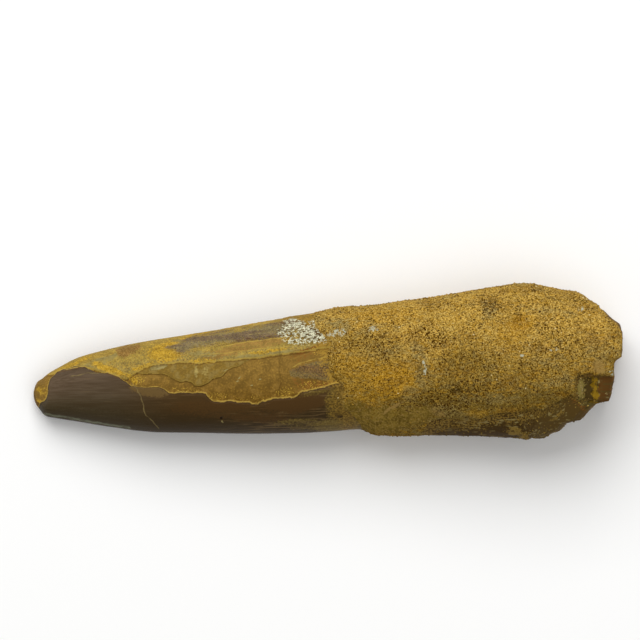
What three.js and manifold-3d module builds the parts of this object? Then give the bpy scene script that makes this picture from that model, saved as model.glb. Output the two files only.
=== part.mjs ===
// A fossil theropod tooth, lying on its side. One solid: the tapering crown with its worn tip, the chipped sheet
// of enamel over the dentine, the root, the crust of sandstone cemented to the root, and the root's broken end.
//
// Frame, in millimetres: X runs from the tip to the broken root, Y across the tooth's broad side, +Z up from the
// surface it lies on. The origin is the middle of the underside of the bounding box.
// Outlines are lists of [along, across]: along is the distance from the tip, across the height on the broad side.

import * as THREE from "three";
import { mergeVertices } from "three/addons/utils/BufferGeometryUtils.js";
import Module from "manifold-3d";

const wasm = await Module();
wasm.setup();

// ---------------------------------------------------------------- driving dimensions
const LENGTH = 70.0;
const SIDES = 44; // facets round the tooth
const RING_STEP = 1.2; // between rings along the shaft
const FLAT_DIP = 0.25; // how far the underside would reach below the resting plane before it is worn flat
const THICKNESS_SHARE = 0.8; // depth of the section over its height on the broad side
const CRUST_THICKNESS = 0.7;
const CRUST_STARTS = 30; // along: the crust feathers in from here ...
const CRUST_IS_FULL = 42; // ... to here
const CRUST_LUMP = 0.14; // height of the lumps of the sandstone ...
const CRUST_LUMP_SIZE = 2.4; // ... and how far apart they are
const SHOULDER_RADIUS = 1.3; // rounding of the root where it turns over the broken end
const PULP_DEPTH = 1.7; // hollow of the pulp cavity in the broken end
const FRACTURE_RELIEF = 0.4; // roughness of the broken end
const SLIVER = 0.012; // detail thinner than this is dropped

// Depth of each worn surface under the unworn one.
const DENTINE_DEPTH = 0.42;
const LOWER_PLATE_DEPTH = 0.24;
const UPPER_PLATE_DEPTH = 0.1;

// ---------------------------------------------------------------- outlines of the broad side
const UPPER_EDGE = [
  [0, -4.0], [0.06, -3.59], [0.24, -3.0], [0.59, -2.46], [1.07, -2.16], [1.78, -1.57], [3.2, -0.74], [5.34, 0.33],
  [8.19, 1.16], [12.69, 2.16], [17.44, 2.94], [22.18, 3.71], [26.93, 4.56], [31.67, 5.43], [35.23, 6.14],
  [39.5, 6.61], [43.77, 7.09], [48.04, 7.68], [50.89, 8.16], [55.4, 8.87], [57.3, 9.21], [59.2, 9.14], [61.1, 8.8],
  [63.2, 8.38], [66, 8.0], [74, 7.4],
];
const LOWER_EDGE = [
  [0, -4.0], [0.06, -4.42], [0.36, -5.25], [0.83, -5.84], [1.3, -6.44], [1.78, -6.67], [3.2, -6.91], [5.58, -7.27],
  [7.95, -7.68], [10.32, -8.01], [12.69, -8.33], [15.07, -8.51], [19.81, -8.57], [25.74, -8.65], [31.67, -8.57],
  [35.94, -8.33], [38.8, -8.12], [43, -8.7], [47.09, -8.82], [52, -8.87], [56.58, -9.05], [61, -9.1], [74, -9.0],
];
const CRUST_LOWER_EDGE = [
  [0, -8.1], [30, -8.4], [38.2, -8.15], [38.9, -8.25], [39.5, -8.5], [40.21, -8.81], [41.16, -8.95], [47.09, -8.95],
  [56, -9.15], [74, -9.1],
];
const UNDERSIDE = [[0, 0.95], [1.5, 0.6], [3.5, 0.2], [8, -0.12], [14, -FLAT_DIP], [64, -FLAT_DIP], [74, 0]];

// The broken end: how far along each height of the broad side reaches.
const BROKEN_END = [
  [61.0, -9.4], [60.85, -9.05], [61.8, -8.54], [62.63, -8.27], [63.06, -7.86], [63.58, -7.24], [65.01, -6.99],
  [65.6, -6.32], [66.27, -5.57], [67.02, -4.95], [68.33, -4.75], [68.68, -3.78], [68.92, -1.81], [68.98, -0.27],
  [69.24, 0.09], [69.87, 0.47], [70, 1.28], [70, 3.43], [69.63, 4.36], [68.72, 4.98], [67.82, 5.96],
  [67.3, 6.26], [67.31, 6.52], [66.27, 7.16], [65.24, 7.8], [63.94, 8.39], [63.6, 9.5],
];

// ---------------------------------------------------------------- outlines of what is left of each layer
const OUTSIDE = 14; // across: clear of the tooth on either side

const TOP_OF_ENAMEL = [
  [0.3, -6.2], [0.83, -5.13], [1.54, -4.42], [1.84, -3.23], [2.14, -2.05], [2.85, -1.33], [3.91, -0.98],
  [6.29, -0.62], [7.59, -1.28], [10.08, -1.69], [11.27, -2.52], [13.29, -3.11], [15.07, -3.11], [16.22, -3.8],
  [20.2, -3.8], [21.35, -4.7], [23.33, -4.82], [26.4, -5.22], [27.73, -4.76], [30.91, -4.4], [32.4, -3.6],
  [35.39, -2.79], [38.5, -2.6],
];
const UPPER_SHEET = [
  [2.14, -2.05], [2.85, -1.33], [3.91, -0.98], [6.29, -0.62], [7.59, -1.28], [10.08, -1.69], [11.27, -2.52],
  [11.9, -1.57], [13.61, -0.62], [15.78, -0.27], [17.44, -0.11], [23, 0.12], [29, 0.25], [30.81, -0.5], [33, 0.05],
  [38, 0.3], [38, OUTSIDE], [0, OUTSIDE], [0, -2.05],
];
const LOWER_SHEET = [
  [11.9, -1.5], [13.61, -0.55], [15.78, -0.2], [17.44, 0], [23, 0.3], [25.4, 0.3], [24.41, -0.56], [23.13, -1.06],
  [22.16, -1.93], [21.47, -2.05], [20.58, -2.83], [19.3, -2.94], [18.91, -2.52], [17.53, -2.52], [16.25, -1.75],
  [15.78, -1.5],
];
const ENAMEL_STRIP = [
  [16.25, 1.04], [19.22, 1.51], [21.59, 1.87], [23.13, 2.22], [26.93, 2.7], [29.06, 2.94], [31, 3.4],
  [31, OUTSIDE], [17.4, OUTSIDE], [17.2, 1.87],
];
const ENAMEL_PATCH = [
  [30.81, -0.62], [31.97, -0.31], [32.81, 0.01], [36.5, 0.23], [37.5, -2.3], [32.86, -2.4], [30.91, -1.8],
];
const FRONT_OF_CRUST = [
  [29.66, OUTSIDE], [29.66, 5.07], [31.67, 4.6], [34.88, 1.51], [34.64, 0.33], [34.99, -1.1], [36.18, -2.64],
  [36.54, -3.47], [35.9, -4.8], [36.18, -6.08], [37.6, -7.5], [37.84, -OUTSIDE],
];
const FOOT_OF_CRUST = [
  [46.5, -OUTSIDE], [46.5, -9.05], [47.33, -8.57], [48.87, -8.21], [52.79, -7.68], [56.35, -7.15], [57.77, -6.44],
  [58.96, -6.32], [61.09, -5.25], [63.23, -4.42], [64.59, -5.0], [64.59, -2.3], [66.07, -1.93], [68.68, -1.81],
  [75, -1.81],
];

// The same layers on the side that faces down.
const ENAMEL_BELOW = [
  [0.5, -OUTSIDE], [0.9, -4.9], [2.6, -2.6], [5, -1.1], [8.2, -0.5], [11, 0.7], [14, 0.9], [17.4, 2.2],
  [17.4, OUTSIDE], [31, OUTSIDE], [31.5, 3.1], [29, 1.4], [27.6, 1.6], [26.2, -0.4], [27.4, -2.2], [30.6, -3.0],
  [33.8, -2.2], [35.4, -0.6], [38.5, -0.4], [38.5, -OUTSIDE],
];
const CRUST_BELOW = [
  [29.66, OUTSIDE], [30.2, 4.4], [33.1, 3.3], [33.8, 1.2], [35.6, -0.6], [35.2, -2.7], [36.6, -5.1],
  [37.84, -7.6], [37.84, -OUTSIDE], [46.5, -OUTSIDE], [46.9, -8.4], [50.5, -7.3], [54.6, -7.4], [58.8, -5.9],
  [62.4, -5.6], [64.4, -3.4], [66.2, -2.6], [75, -2.2], [75, OUTSIDE],
];

// ---------------------------------------------------------------- curves and noise
const mix = THREE.MathUtils.lerp;
const smoothstep = (x, low, high) => THREE.MathUtils.smoothstep(x, low, high);

// The value at x of the smooth curve through [x, value] points, which doesn't overshoot between them.
// Its x is taken as a square root, so that an edge can leave the tip square on.
function edgeAt(points, x) {
  const at = Math.sqrt(THREE.MathUtils.clamp(x, points[0][0], points.at(-1)[0]));
  const next = Math.max(1, points.findIndex((p) => Math.sqrt(p[0]) >= at));
  const u = (i) => Math.sqrt(points[i][0]);
  const slope = (i) => (points[i + 1][1] - points[i][1]) / (u(i + 1) - u(i));
  const tangent = (i) => {
    if (i === 0) return slope(0);
    if (i === points.length - 1) return slope(i - 1);
    const [before, after] = [slope(i - 1), slope(i)];
    return before * after <= 0 ? 0 : (2 * before * after) / (before + after);
  };
  const [a, b] = [next - 1, next];
  const span = u(b) - u(a);
  const t = (at - u(a)) / span;
  return (
    points[a][1] * (2 * t ** 3 - 3 * t ** 2 + 1) +
    points[b][1] * (3 * t ** 2 - 2 * t ** 3) +
    tangent(a) * span * (t ** 3 - 2 * t ** 2 + t) +
    tangent(b) * span * (t ** 3 - t ** 2)
  );
}

// How far along the broken end is at a height across the broad side.
function brokenEndAt(across) {
  const next = Math.max(1, BROKEN_END.findIndex((p) => p[1] >= across));
  const [low, high] = [BROKEN_END[next - 1], BROKEN_END[next]];
  const share = THREE.MathUtils.clamp((across - low[1]) / (high[1] - low[1]), 0, 1);
  return mix(low[0], high[0], share);
}

// Smooth noise from -1 to 1, the same on every run.
function noise(x, y, z) {
  const corner = [x, y, z].map(Math.floor);
  const share = [x, y, z].map((v, i) => smoothstep(v - corner[i], 0, 1));
  let total = 0;
  for (let n = 0; n < 8; n++) {
    const bit = [n & 1, (n >> 1) & 1, n >> 2];
    const [i, j, k] = corner.map((c, axis) => c + bit[axis]);
    const hash = Math.sin(i * 127.1 + j * 311.7 + k * 74.7) * 43758.5453;
    const weight = bit.reduce((w, b, axis) => w * (b ? share[axis] : 1 - share[axis]), 1);
    total += weight * (2 * (hash - Math.floor(hash)) - 1);
  }
  return total;
}

// ---------------------------------------------------------------- the tooth's section
const crustThicknessAt = (along) => CRUST_THICKNESS * smoothstep(along, CRUST_STARTS, CRUST_IS_FULL);

// The middle and half sizes of the section, with the crust or without it.
function sectionAt(along, withCrust) {
  const crust = withCrust ? 0 : crustThicknessAt(along);
  const bareLower = edgeAt(LOWER_EDGE, along);
  const upper = edgeAt(UPPER_EDGE, along) - crust;
  const lower = withCrust ? Math.min(bareLower, edgeAt(CRUST_LOWER_EDGE, along)) : bareLower;
  const below = edgeAt(UNDERSIDE, along);
  const above = below + THICKNESS_SHARE * (edgeAt(UPPER_EDGE, along) - bareLower);
  return {
    middle: (upper + lower) / 2,
    halfHeight: (upper - lower) / 2,
    level: (above + below) / 2,
    halfDepth: (above - below) / 2 - crust,
  };
}

// Where the rings of a loft stand. The last ones are past the broken end, which is cut later.
const TIP_RINGS = [0.06, 0.3, 0.75, 1.4, 2.2, 3.1, 4.1];
const PAST_END = 73;
function ringStations() {
  const start = TIP_RINGS.at(-1);
  const count = Math.round((PAST_END - start) / RING_STEP);
  const shaft = Array.from({ length: count }, (_, i) => start + ((PAST_END - start) * (i + 1)) / count);
  return [...TIP_RINGS, ...shaft];
}
const STATIONS = ringStations();

// A point of a layer at a ring and an angle, which is 0 at the top and a quarter turn at the upper edge.
function surfacePoint(along, angle, { withCrust, depth, lumps }) {
  const section = sectionAt(along, withCrust);
  const atUpperEdge = smoothstep(Math.sin(angle), 0.75, 0.97); // the layers run together there, and at the tip
  const inset = depth * (1 - atUpperEdge) * smoothstep(along, 0.5, 5);
  const radius = section.halfHeight / CRUST_LUMP_SIZE;
  const field = noise(along / CRUST_LUMP_SIZE, radius * Math.sin(angle), radius * Math.cos(angle));
  const lump = lumps * field * smoothstep(along, CRUST_STARTS, CRUST_STARTS + 8);
  const across = section.middle + (section.halfHeight - inset + lump) * Math.sin(angle);
  const up = section.level + (section.halfDepth - inset + lump) * Math.cos(angle);
  return new THREE.Vector3(along, across, Math.max(up, 0));
}

// A closed skin through all the rings. A sphere has the same rings and two poles, so its points are moved.
function skin(layer) {
  const geometry = new THREE.SphereGeometry(1, SIDES, STATIONS.length + 1);
  const position = geometry.getAttribute("position");
  for (let i = 0; i < position.count; i++) {
    const row = Math.floor(i / (SIDES + 1));
    const angle = ((i % (SIDES + 1)) / SIDES) * 2 * Math.PI;
    let point;
    if (row === 0 || row > STATIONS.length) {
      const along = row === 0 ? 0 : PAST_END;
      const section = sectionAt(along, layer.withCrust);
      point = new THREE.Vector3(along, section.middle, section.level);
    } else {
      point = surfacePoint(STATIONS[row - 1], angle, layer);
    }
    position.setXYZ(i, point.x, point.y, point.z);
  }
  return solidOf(geometry);
}

// How far along the broken end is: rounded over at the top and bottom, rough, and hollow at the pulp cavity.
function fractureAt(across, up) {
  const section = sectionAt(LENGTH, true);
  const [y, z] = [(across - section.middle) / section.halfHeight, (up - section.level) / section.halfDepth];
  const radius = Math.hypot(y, z);
  const rim = THREE.MathUtils.clamp(1 + ((radius - 1) * section.halfDepth) / SHOULDER_RADIUS, 0, 1);
  const shoulder = SHOULDER_RADIUS * (1 - Math.sqrt(1 - rim * rim)) * (Math.abs(z) / Math.max(radius, 0.01));
  const pulp = PULP_DEPTH * (1 - smoothstep(radius, 0.3, 0.55));
  const rough = (FRACTURE_RELIEF * (1 + noise(across / 1.3, up / 1.3, 0))) / 2;
  return brokenEndAt(across) - shoulder - pulp - rough;
}

// ---------------------------------------------------------------- solids
function solidOf(geometry) {
  const bare = geometry.clone();
  bare.deleteAttribute("normal");
  bare.deleteAttribute("uv");
  const merged = mergeVertices(bare, 1e-4);
  const corners = merged.getAttribute("position").array;
  let faces = Array.from(merged.index.array);
  faces = facesOf(faces).filter(([a, b, c]) => a !== b && b !== c && a !== c);
  const made = (list) =>
    new wasm.Manifold(
      new wasm.Mesh({ numProp: 3, vertProperties: new Float32Array(corners), triVerts: new Uint32Array(list.flat()) }),
    );
  const solid = made(faces);
  return solid.volume() > 0 ? solid : made(faces.map(([a, b, c]) => [a, c, b]));
}

function facesOf(index) {
  const faces = [];
  for (let i = 0; i < index.length; i += 3) faces.push(index.slice(i, i + 3));
  return faces;
}

// A prism over an outline of the broad side, from just past the tooth's middle plane to clear of it, above or below.
const OVERLAP = 0.6;
const CLEAR = 40;
function prism(outline, above) {
  const shape = new THREE.Shape(outline.map(([along, across]) => new THREE.Vector2(along, across)));
  const geometry = new THREE.ExtrudeGeometry(shape, { depth: 1, bevelEnabled: false });
  const position = geometry.getAttribute("position");
  for (let i = 0; i < position.count; i++) {
    const level = sectionAt(Math.min(position.getX(i), LENGTH), false).level;
    const far = position.getZ(i) > 0.5 === above;
    const near = above ? level - OVERLAP : level + OVERLAP;
    position.setZ(i, far ? (above ? CLEAR : -CLEAR) : near);
  }
  return solidOf(geometry);
}

// What is worn off the tip: it leaves a flat face that leans back from the tip to the edge of the enamel.
const WORN_FACE = [
  [0.83, -5.13, 3.27],
  [1.84, -3.23, 4.53],
  [0.02, -4.0, 2.2],
];
function wornTip() {
  const corners = WORN_FACE.map((corner) => new THREE.Vector3(...corner));
  const plane = new THREE.Plane().setFromCoplanarPoints(...corners);
  if (plane.normal.z < 0) plane.negate();
  const size = 12;
  const geometry = new THREE.BoxGeometry(size, size, size);
  geometry.translate(0, 0, size / 2);
  geometry.applyQuaternion(new THREE.Quaternion().setFromUnitVectors(new THREE.Vector3(0, 0, 1), plane.normal));
  geometry.translate(...corners[1].toArray());
  return solidOf(geometry);
}

// What is broken off the root: a block whose near side is the fracture.
const FRACTURE_STEP = 0.75;
const FRACTURE_SPAN = { across: 24, up: 22 };
function brokenOff() {
  const { across, up } = FRACTURE_SPAN;
  const [columns, rows] = [across, up].map((span) => Math.round(span / FRACTURE_STEP));
  const geometry = new THREE.BoxGeometry(1, across, up, 1, columns, rows);
  geometry.translate(0, 0, sectionAt(LENGTH, true).level);
  const position = geometry.getAttribute("position");
  for (let i = 0; i < position.count; i++) {
    const near = position.getX(i) < 0;
    position.setX(i, near ? fractureAt(position.getY(i), position.getZ(i)) : LENGTH + 20);
  }
  return solidOf(geometry);
}

function tooth() {
  const bare = (depth) => skin({ withCrust: false, depth, lumps: 0 });
  const unworn = bare(0);
  const enamel = prism([...TOP_OF_ENAMEL, [38.5, -OUTSIDE], [0.3, -OUTSIDE]], true)
    .add(prism(ENAMEL_STRIP, true))
    .add(prism(ENAMEL_PATCH, true))
    .add(prism(ENAMEL_BELOW, false));
  const crust = prism([...FRONT_OF_CRUST, ...FOOT_OF_CRUST, [75, OUTSIDE]], true).add(prism(CRUST_BELOW, false));
  return bare(DENTINE_DEPTH)
    .add(bare(LOWER_PLATE_DEPTH).intersect(prism(LOWER_SHEET, true)))
    .add(bare(UPPER_PLATE_DEPTH).intersect(prism(UPPER_SHEET, true)))
    .add(unworn.intersect(enamel))
    .add(skin({ withCrust: true, depth: 0, lumps: CRUST_LUMP }).intersect(crust))
    .subtract(wornTip())
    .subtract(brokenOff());
}

// The body itself, without the slivers that lie where two layers meet.
function cleanBody(solid) {
  return solid.simplify(SLIVER).decompose().sort((a, b) => b.volume() - a.volume())[0];
}

// ---------------------------------------------------------------- the mesh
function geometryOf(solid) {
  const mesh = solid.getMesh();
  const geometry = new THREE.BufferGeometry();
  geometry.setAttribute("position", new THREE.BufferAttribute(mesh.vertProperties, 3));
  geometry.setIndex(new THREE.BufferAttribute(mesh.triVerts, 1));
  geometry.computeBoundingBox();
  const { min, max } = geometry.boundingBox;
  geometry.translate(-(min.x + max.x) / 2, -(min.y + max.y) / 2, -min.z);
  geometry.computeVertexNormals();
  return geometry;
}

const fossil = new THREE.MeshStandardMaterial({ color: 0x9a7a38, roughness: 0.75, metalness: 0 });
const toothMesh = new THREE.Mesh(geometryOf(cleanBody(tooth())), fossil);
toothMesh.name = "tooth";

const group = new THREE.Group();
group.name = "fossil_tooth";
group.add(toothMesh);
export default group;
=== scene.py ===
"""A fossil theropod tooth: chipped enamel over dentine, and a root under a crust of cemented sandstone.

Lengths are in millimetres until a mesh is written. "along" runs from the tip to the broken root, "across" is
the height on the broad side that faces up, and "lift" is the distance outwards from the unworn surface.
"""

import logging
import math
from dataclasses import dataclass
from enum import Enum, IntEnum

import bpy
import numpy as np
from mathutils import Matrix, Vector


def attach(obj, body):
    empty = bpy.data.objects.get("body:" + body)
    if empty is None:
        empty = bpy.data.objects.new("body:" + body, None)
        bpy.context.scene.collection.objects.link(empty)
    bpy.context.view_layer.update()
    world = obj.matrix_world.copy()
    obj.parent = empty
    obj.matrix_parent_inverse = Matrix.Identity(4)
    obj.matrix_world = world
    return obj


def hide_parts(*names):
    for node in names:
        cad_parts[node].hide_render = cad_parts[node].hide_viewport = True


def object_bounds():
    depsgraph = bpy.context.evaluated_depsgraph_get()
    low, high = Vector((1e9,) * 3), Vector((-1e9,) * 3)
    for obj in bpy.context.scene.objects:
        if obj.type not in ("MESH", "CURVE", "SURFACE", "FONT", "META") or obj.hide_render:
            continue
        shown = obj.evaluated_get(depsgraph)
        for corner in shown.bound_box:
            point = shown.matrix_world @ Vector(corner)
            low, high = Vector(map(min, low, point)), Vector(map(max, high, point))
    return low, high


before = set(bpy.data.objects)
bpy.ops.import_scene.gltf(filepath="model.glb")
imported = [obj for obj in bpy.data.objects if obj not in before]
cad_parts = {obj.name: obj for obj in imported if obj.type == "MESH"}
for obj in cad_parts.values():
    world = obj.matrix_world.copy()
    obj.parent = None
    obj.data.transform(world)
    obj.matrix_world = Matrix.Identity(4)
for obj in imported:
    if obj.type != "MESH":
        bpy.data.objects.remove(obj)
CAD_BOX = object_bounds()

Array = np.ndarray
Points = tuple[tuple[float, float], ...]
Rows = tuple[tuple[float, ...], ...]
Socket = bpy.types.NodeSocket

log = logging.getLogger("tooth")
MM = 0.001
NODE = "tooth"

# ---------------------------------------------------------------- the tooth's real sizes
LENGTH = 70.0
THICKNESS_SHARE = 0.8
CRUST_THICKNESS = 0.7
CRUST_STARTS = 30.0
CRUST_IS_FULL = 42.0
BREAK_STARTS = 58.0
SHOULDER_RADIUS = 1.3
PULP_DEPTH = 1.7
FLAT_DIP = 0.25
DENTINE_DEPTH = 0.42

UPPER_EDGE: Points = (
    (0, -4.0), (0.06, -3.59), (0.24, -3.0), (0.59, -2.46), (1.07, -2.16), (1.78, -1.57), (3.2, -0.74),
    (5.34, 0.33), (8.19, 1.16), (12.69, 2.16), (17.44, 2.94), (22.18, 3.71), (26.93, 4.56), (31.67, 5.43),
    (35.23, 6.14), (39.5, 6.61), (43.77, 7.09), (48.04, 7.68), (50.89, 8.16), (55.4, 8.87), (57.3, 9.21),
    (59.2, 9.14), (61.1, 8.8), (63.2, 8.38), (66, 8.0), (74, 7.4),
)
LOWER_EDGE: Points = (
    (0, -4.0), (0.06, -4.42), (0.36, -5.25), (0.83, -5.84), (1.3, -6.44), (1.78, -6.67), (3.2, -6.91),
    (5.58, -7.27), (7.95, -7.68), (10.32, -8.01), (12.69, -8.33), (15.07, -8.51), (19.81, -8.57),
    (25.74, -8.65), (31.67, -8.57), (35.94, -8.33), (38.8, -8.12), (43, -8.7), (47.09, -8.82), (52, -8.87),
    (56.58, -9.05), (61, -9.1), (74, -9.0),
)
CRUST_LOWER_EDGE: Points = (
    (0, -8.1), (30, -8.4), (38.2, -8.15), (38.9, -8.25), (39.5, -8.5), (40.21, -8.81), (41.16, -8.95),
    (47.09, -8.95), (56, -9.15), (74, -9.1),
)
UNDERSIDE: Points = (
    (0, 0.95), (1.5, 0.6), (3.5, 0.2), (8, -0.12), (14, -FLAT_DIP), (64, -FLAT_DIP), (74, 0),
)
BROKEN_END: Points = (
    (61.0, -9.4), (60.85, -9.05), (61.8, -8.54), (62.63, -8.27), (63.06, -7.86), (63.58, -7.24),
    (65.01, -6.99), (65.6, -6.32), (66.27, -5.57), (67.02, -4.95), (68.33, -4.75), (68.68, -3.78),
    (68.92, -1.81), (68.98, -0.27), (69.24, 0.09), (69.87, 0.47), (70, 1.28), (70, 3.43), (69.63, 4.36),
    (68.72, 4.98), (67.82, 5.96), (67.3, 6.26), (67.31, 6.52), (66.27, 7.16), (65.24, 7.8), (63.94, 8.39),
    (63.6, 9.5),
)
WORN_FACE = ((0.83, -5.13, 3.27), (1.84, -3.23, 4.53), (0.02, -4.0, 2.2))

OUTSIDE = 14.0
ENAMEL: Points = (
    (0.3, -6.2), (0.6, -5.6), (0.83, -5.13), (1.2, -4.82), (1.54, -4.42), (1.75, -3.9), (1.84, -3.23),
    (2.0, -2.5), (2.14, -2.05), (2.85, -1.33), (3.91, -0.98), (4.98, -0.68), (6.29, -0.62), (7.0, -0.98),
    (7.59, -1.28), (8.9, -1.39), (10.08, -1.69), (11.27, -2.52), (11.86, -3.0), (13.29, -3.11),
    (15.07, -3.11), (15.78, -3.41), (16.22, -3.8), (16.82, -3.94), (17.72, -3.83), (19.99, -3.77),
    (20.49, -3.91), (20.88, -4.3), (21.35, -4.7), (21.76, -4.85), (22.54, -4.94), (23.33, -4.8),
    (24.02, -4.94), (25.69, -4.96), (26.14, -5.19), (26.68, -5.24), (27.09, -4.87), (27.73, -4.76),
    (28.59, -4.55), (29.85, -4.5), (30.91, -4.4), (31.44, -4.12), (31.97, -3.71), (32.81, -3.54),
    (33.99, -3.28), (34.51, -3.17), (35.39, -2.79), (36.04, -2.63), (40, -2.6), (40, -OUTSIDE),
    (0.3, -OUTSIDE),
)
UPPER_SHEET: Points = (
    (1.0, -1.6), (2.14, -1.7), (2.85, -1.33), (6.29, -0.62), (8.9, -1.39), (11.27, -2.2), (11.98, -1.57),
    (13.61, -0.62), (15.78, -0.27), (17.44, -0.11), (19.9, -0.2), (23, 0.12), (26.4, 0.35), (29, 0.8),
    (31.5, 1.1), (35, 1.7), (40, 1.9), (40, OUTSIDE), (1, OUTSIDE),
)
LOWER_SHEET: Points = (
    (11.5, -1.9), (12.04, -1.42), (15.78, -1.5), (16.25, -1.75), (16.84, -2.16), (17.53, -2.52),
    (18.22, -2.34), (18.91, -2.52), (19.3, -2.94), (20.08, -3.03), (20.58, -2.83), (20.97, -2.52),
    (21.47, -2.05), (22.16, -1.93), (22.66, -1.65), (23.13, -1.06), (23.72, -0.74), (24.41, -0.56),
    (25.6, 0.1), (26.2, 0.6), (23, 0.6), (17.4, 0.4), (15.7, 0.2), (13.5, -0.2), (11.9, -1.1),
)
STRIP: Points = (
    (15.9, 1.7), (16.9, 1.2), (17.8, 0.95), (19.22, 1.5), (21.59, 1.87), (23.13, 2.22), (26.93, 2.7),
    (29.06, 2.94), (31, 3.3), (31, 4.9), (28.71, 4.55), (26.3, 4.1), (24.56, 3.65), (22.2, 3.4),
    (20.4, 3.05), (19.2, 3.0), (18.4, 2.7), (17.6, 2.1), (16.9, 1.9),
)
PATCH: Points = (
    (30.4, -1.2), (31.2, -0.75), (32.4, -0.3), (33.6, 0.05), (35.0, 0.35), (36.2, 0.3), (36.6, -0.8),
    (36.2, -1.9), (35.0, -2.5), (33.6, -2.2), (32.3, -2.1), (31.2, -1.9), (30.6, -1.6),
)
BROWN_PATCH: Points = (
    (9.96, 1.39), (10.8, 1.69), (11.86, 1.87), (12.8, 1.93), (12.87, 1.51), (12.34, 1.04), (11.6, 0.8),
    (11.0, 0.44), (10.4, 0.56), (10.08, 0.92),
)
CRUST: Points = (
    (29.66, OUTSIDE), (29.66, 5.07), (31.67, 4.6), (33.4, 3.1), (34.88, 1.51), (34.64, 0.33), (34.99, -1.1),
    (35.47, -2.05), (36.18, -2.64), (36.54, -3.47), (36.18, -4.3), (35.71, -5.25), (36.18, -6.08),
    (37.01, -6.79), (37.6, -7.5), (37.84, -8.16), (37.84, -OUTSIDE), (46.5, -OUTSIDE), (46.5, -9.05),
    (47.0, -8.2), (48.3, -7.6), (50.0, -7.4), (52.5, -7.45), (54.0, -7.2), (55.4, -6.8), (57.2, -6.75),
    (59.0, -6.6), (60.3, -6.2), (61.3, -5.4), (62.5, -4.7), (63.4, -4.45), (64.0, -4.9), (64.2, -4.6),
    (64.1, -2.3), (64.4, -2.0), (66.07, -1.93), (68.68, -1.81), (75, -1.81), (75, OUTSIDE),
)
ENAMEL_BELOW: Points = (
    (0.5, -OUTSIDE), (0.9, -4.9), (1.7, -3.4), (2.6, -2.6), (3.6, -1.5), (5, -1.1), (6.7, -0.9), (8.2, -0.5),
    (9.4, 0.2), (11, 0.7), (12.3, 0.6), (14, 0.9), (15.6, 1.3), (17.0, 1.7), (18.2, 2.3), (19.3, 2.5),
    (20.0, 3.1), (21.6, 3.2), (22.4, 3.6), (23.3, 3.6), (23.9, 4.1), (24.3, OUTSIDE), (28.6, OUTSIDE),
    (29.0, 4.9), (30.0, 4.6), (30.2, 3.9), (31.5, 3.1), (30.2, 1.9), (29, 1.4), (27.6, 1.6), (26.9, 0.7),
    (26.2, -0.4), (26.6, -1.4), (27.4, -2.2), (29.1, -2.4), (30.6, -3.0), (32.4, -2.9), (33.8, -2.2),
    (35.4, -0.6), (40, -0.4), (40, -OUTSIDE),
)
CRUST_BELOW: Points = (
    (29.66, OUTSIDE), (30.2, 4.4), (33.1, 3.3), (33.8, 1.2), (35.6, -0.6), (35.2, -2.7), (36.6, -5.1),
    (37.84, -7.6), (37.84, -OUTSIDE), (46.5, -OUTSIDE), (46.9, -8.4), (50.5, -7.3), (52.2, -7.6),
    (54.6, -7.4), (56.9, -6.3), (58.8, -5.9), (62.4, -5.6), (64.4, -3.4), (66.2, -2.6), (75, -2.2),
    (75, OUTSIDE),
)
PALE_LINES: tuple[Points, ...] = (
    (
        (11.86, -2.64), (12.56, -3.41), (12.99, -4.29), (13.25, -5.59), (13.52, -6.46), (14.21, -7.06),
        (14.91, -7.94),
    ),
    ((4.6, -1.9), (5.4, -1.75), (6.6, -1.5), (7.7, -1.45), (9.0, -1.4)),
)
BRIGHT_LINES: tuple[Points, ...] = (
    ((22.3, 1.75), (24.6, 2.2), (27.2, 2.55), (29.9, 2.85)),
    ((20.0, 0.75), (23.0, 1.0), (26.5, 1.45), (30.5, 1.75)),
    ((30.9, -0.65), (31.7, -0.2), (33.0, 0.2), (34.7, 0.6)),
)
# a pale grey-green band painted along the lower edge near the tip
LOWER_EDGE_BAND: tuple[Points, ...] = (((1.4, -6.35), (3.2, -6.62), (5.6, -7.0), (9.0, -7.6), (11.5, -7.95)),)
DARK_LINES: tuple[Points, ...] = (
    ((29.25, 1.9), (29.35, 0.6), (29.25, -0.9), (29.4, -2.6), (29.3, -4.1)),
    ((21.9, 1.85), (24.6, 2.36), (27.2, 2.72), (29.9, 3.0)),
    ((18.5, 3.35), (22.2, 4.05), (26.5, 4.75), (29.6, 5.1)),
)
BREAK_MARKS: dict[str, Points] = {
    "gloss": ((66.7, -1.9), (71, -1.8), (71, -5.2), (66.7, -5.2), (66.9, -4.2), (66.6, -3.3), (66.9, -2.6)),
    "yellow": (
        (65.9, -1.9), (66.7, -1.95), (66.8, -2.4), (66.4, -2.7), (66.8, -3.1), (66.5, -3.5), (66.9, -4.0),
        (66.6, -4.5), (66.7, -5.2), (66, -5.0), (66.3, -4.4), (65.9, -4.0), (66.2, -3.5), (65.8, -3.0),
        (66.1, -2.5),
    ),
    "olive": ((65, -2.0), (66.1, -1.9), (66.1, -5.0), (65.4, -4.9), (64.9, -3.8), (65.1, -3.0)),
    "seam": (
        (64.3, -2.2), (64.9, -2.0), (65.2, -2.3), (64.8, -2.6), (65.3, -2.9), (64.9, -3.3), (65.3, -3.6),
        (64.8, -4.0), (65.2, -4.3), (64.7, -4.7), (64.2, -4.4), (64.5, -3.6), (64.2, -3.0), (64.5, -2.6),
    ),
    "granular": (
        (64.1, -4.4), (65, -4.5), (65.7, -4.8), (66.4, -5.0), (66.5, -5.6), (66, -6.0), (65.2, -5.7),
        (64.5, -5.2),
    ),
}
LOBE: Points = (
    (45.8, 0.5), (46.2, -0.8), (46.1, -2.0), (45.3, -3.2), (43.5, -4.4), (41.5, -5.2), (39, -5.9),
    (36.5, -6.3), (34, -6), (34, 2.0), (38, 1.4), (41, 0.4), (43.5, 0.9), (45, 1.3),
)
STAR_HOLLOW = (57.6, 4.3)
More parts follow.
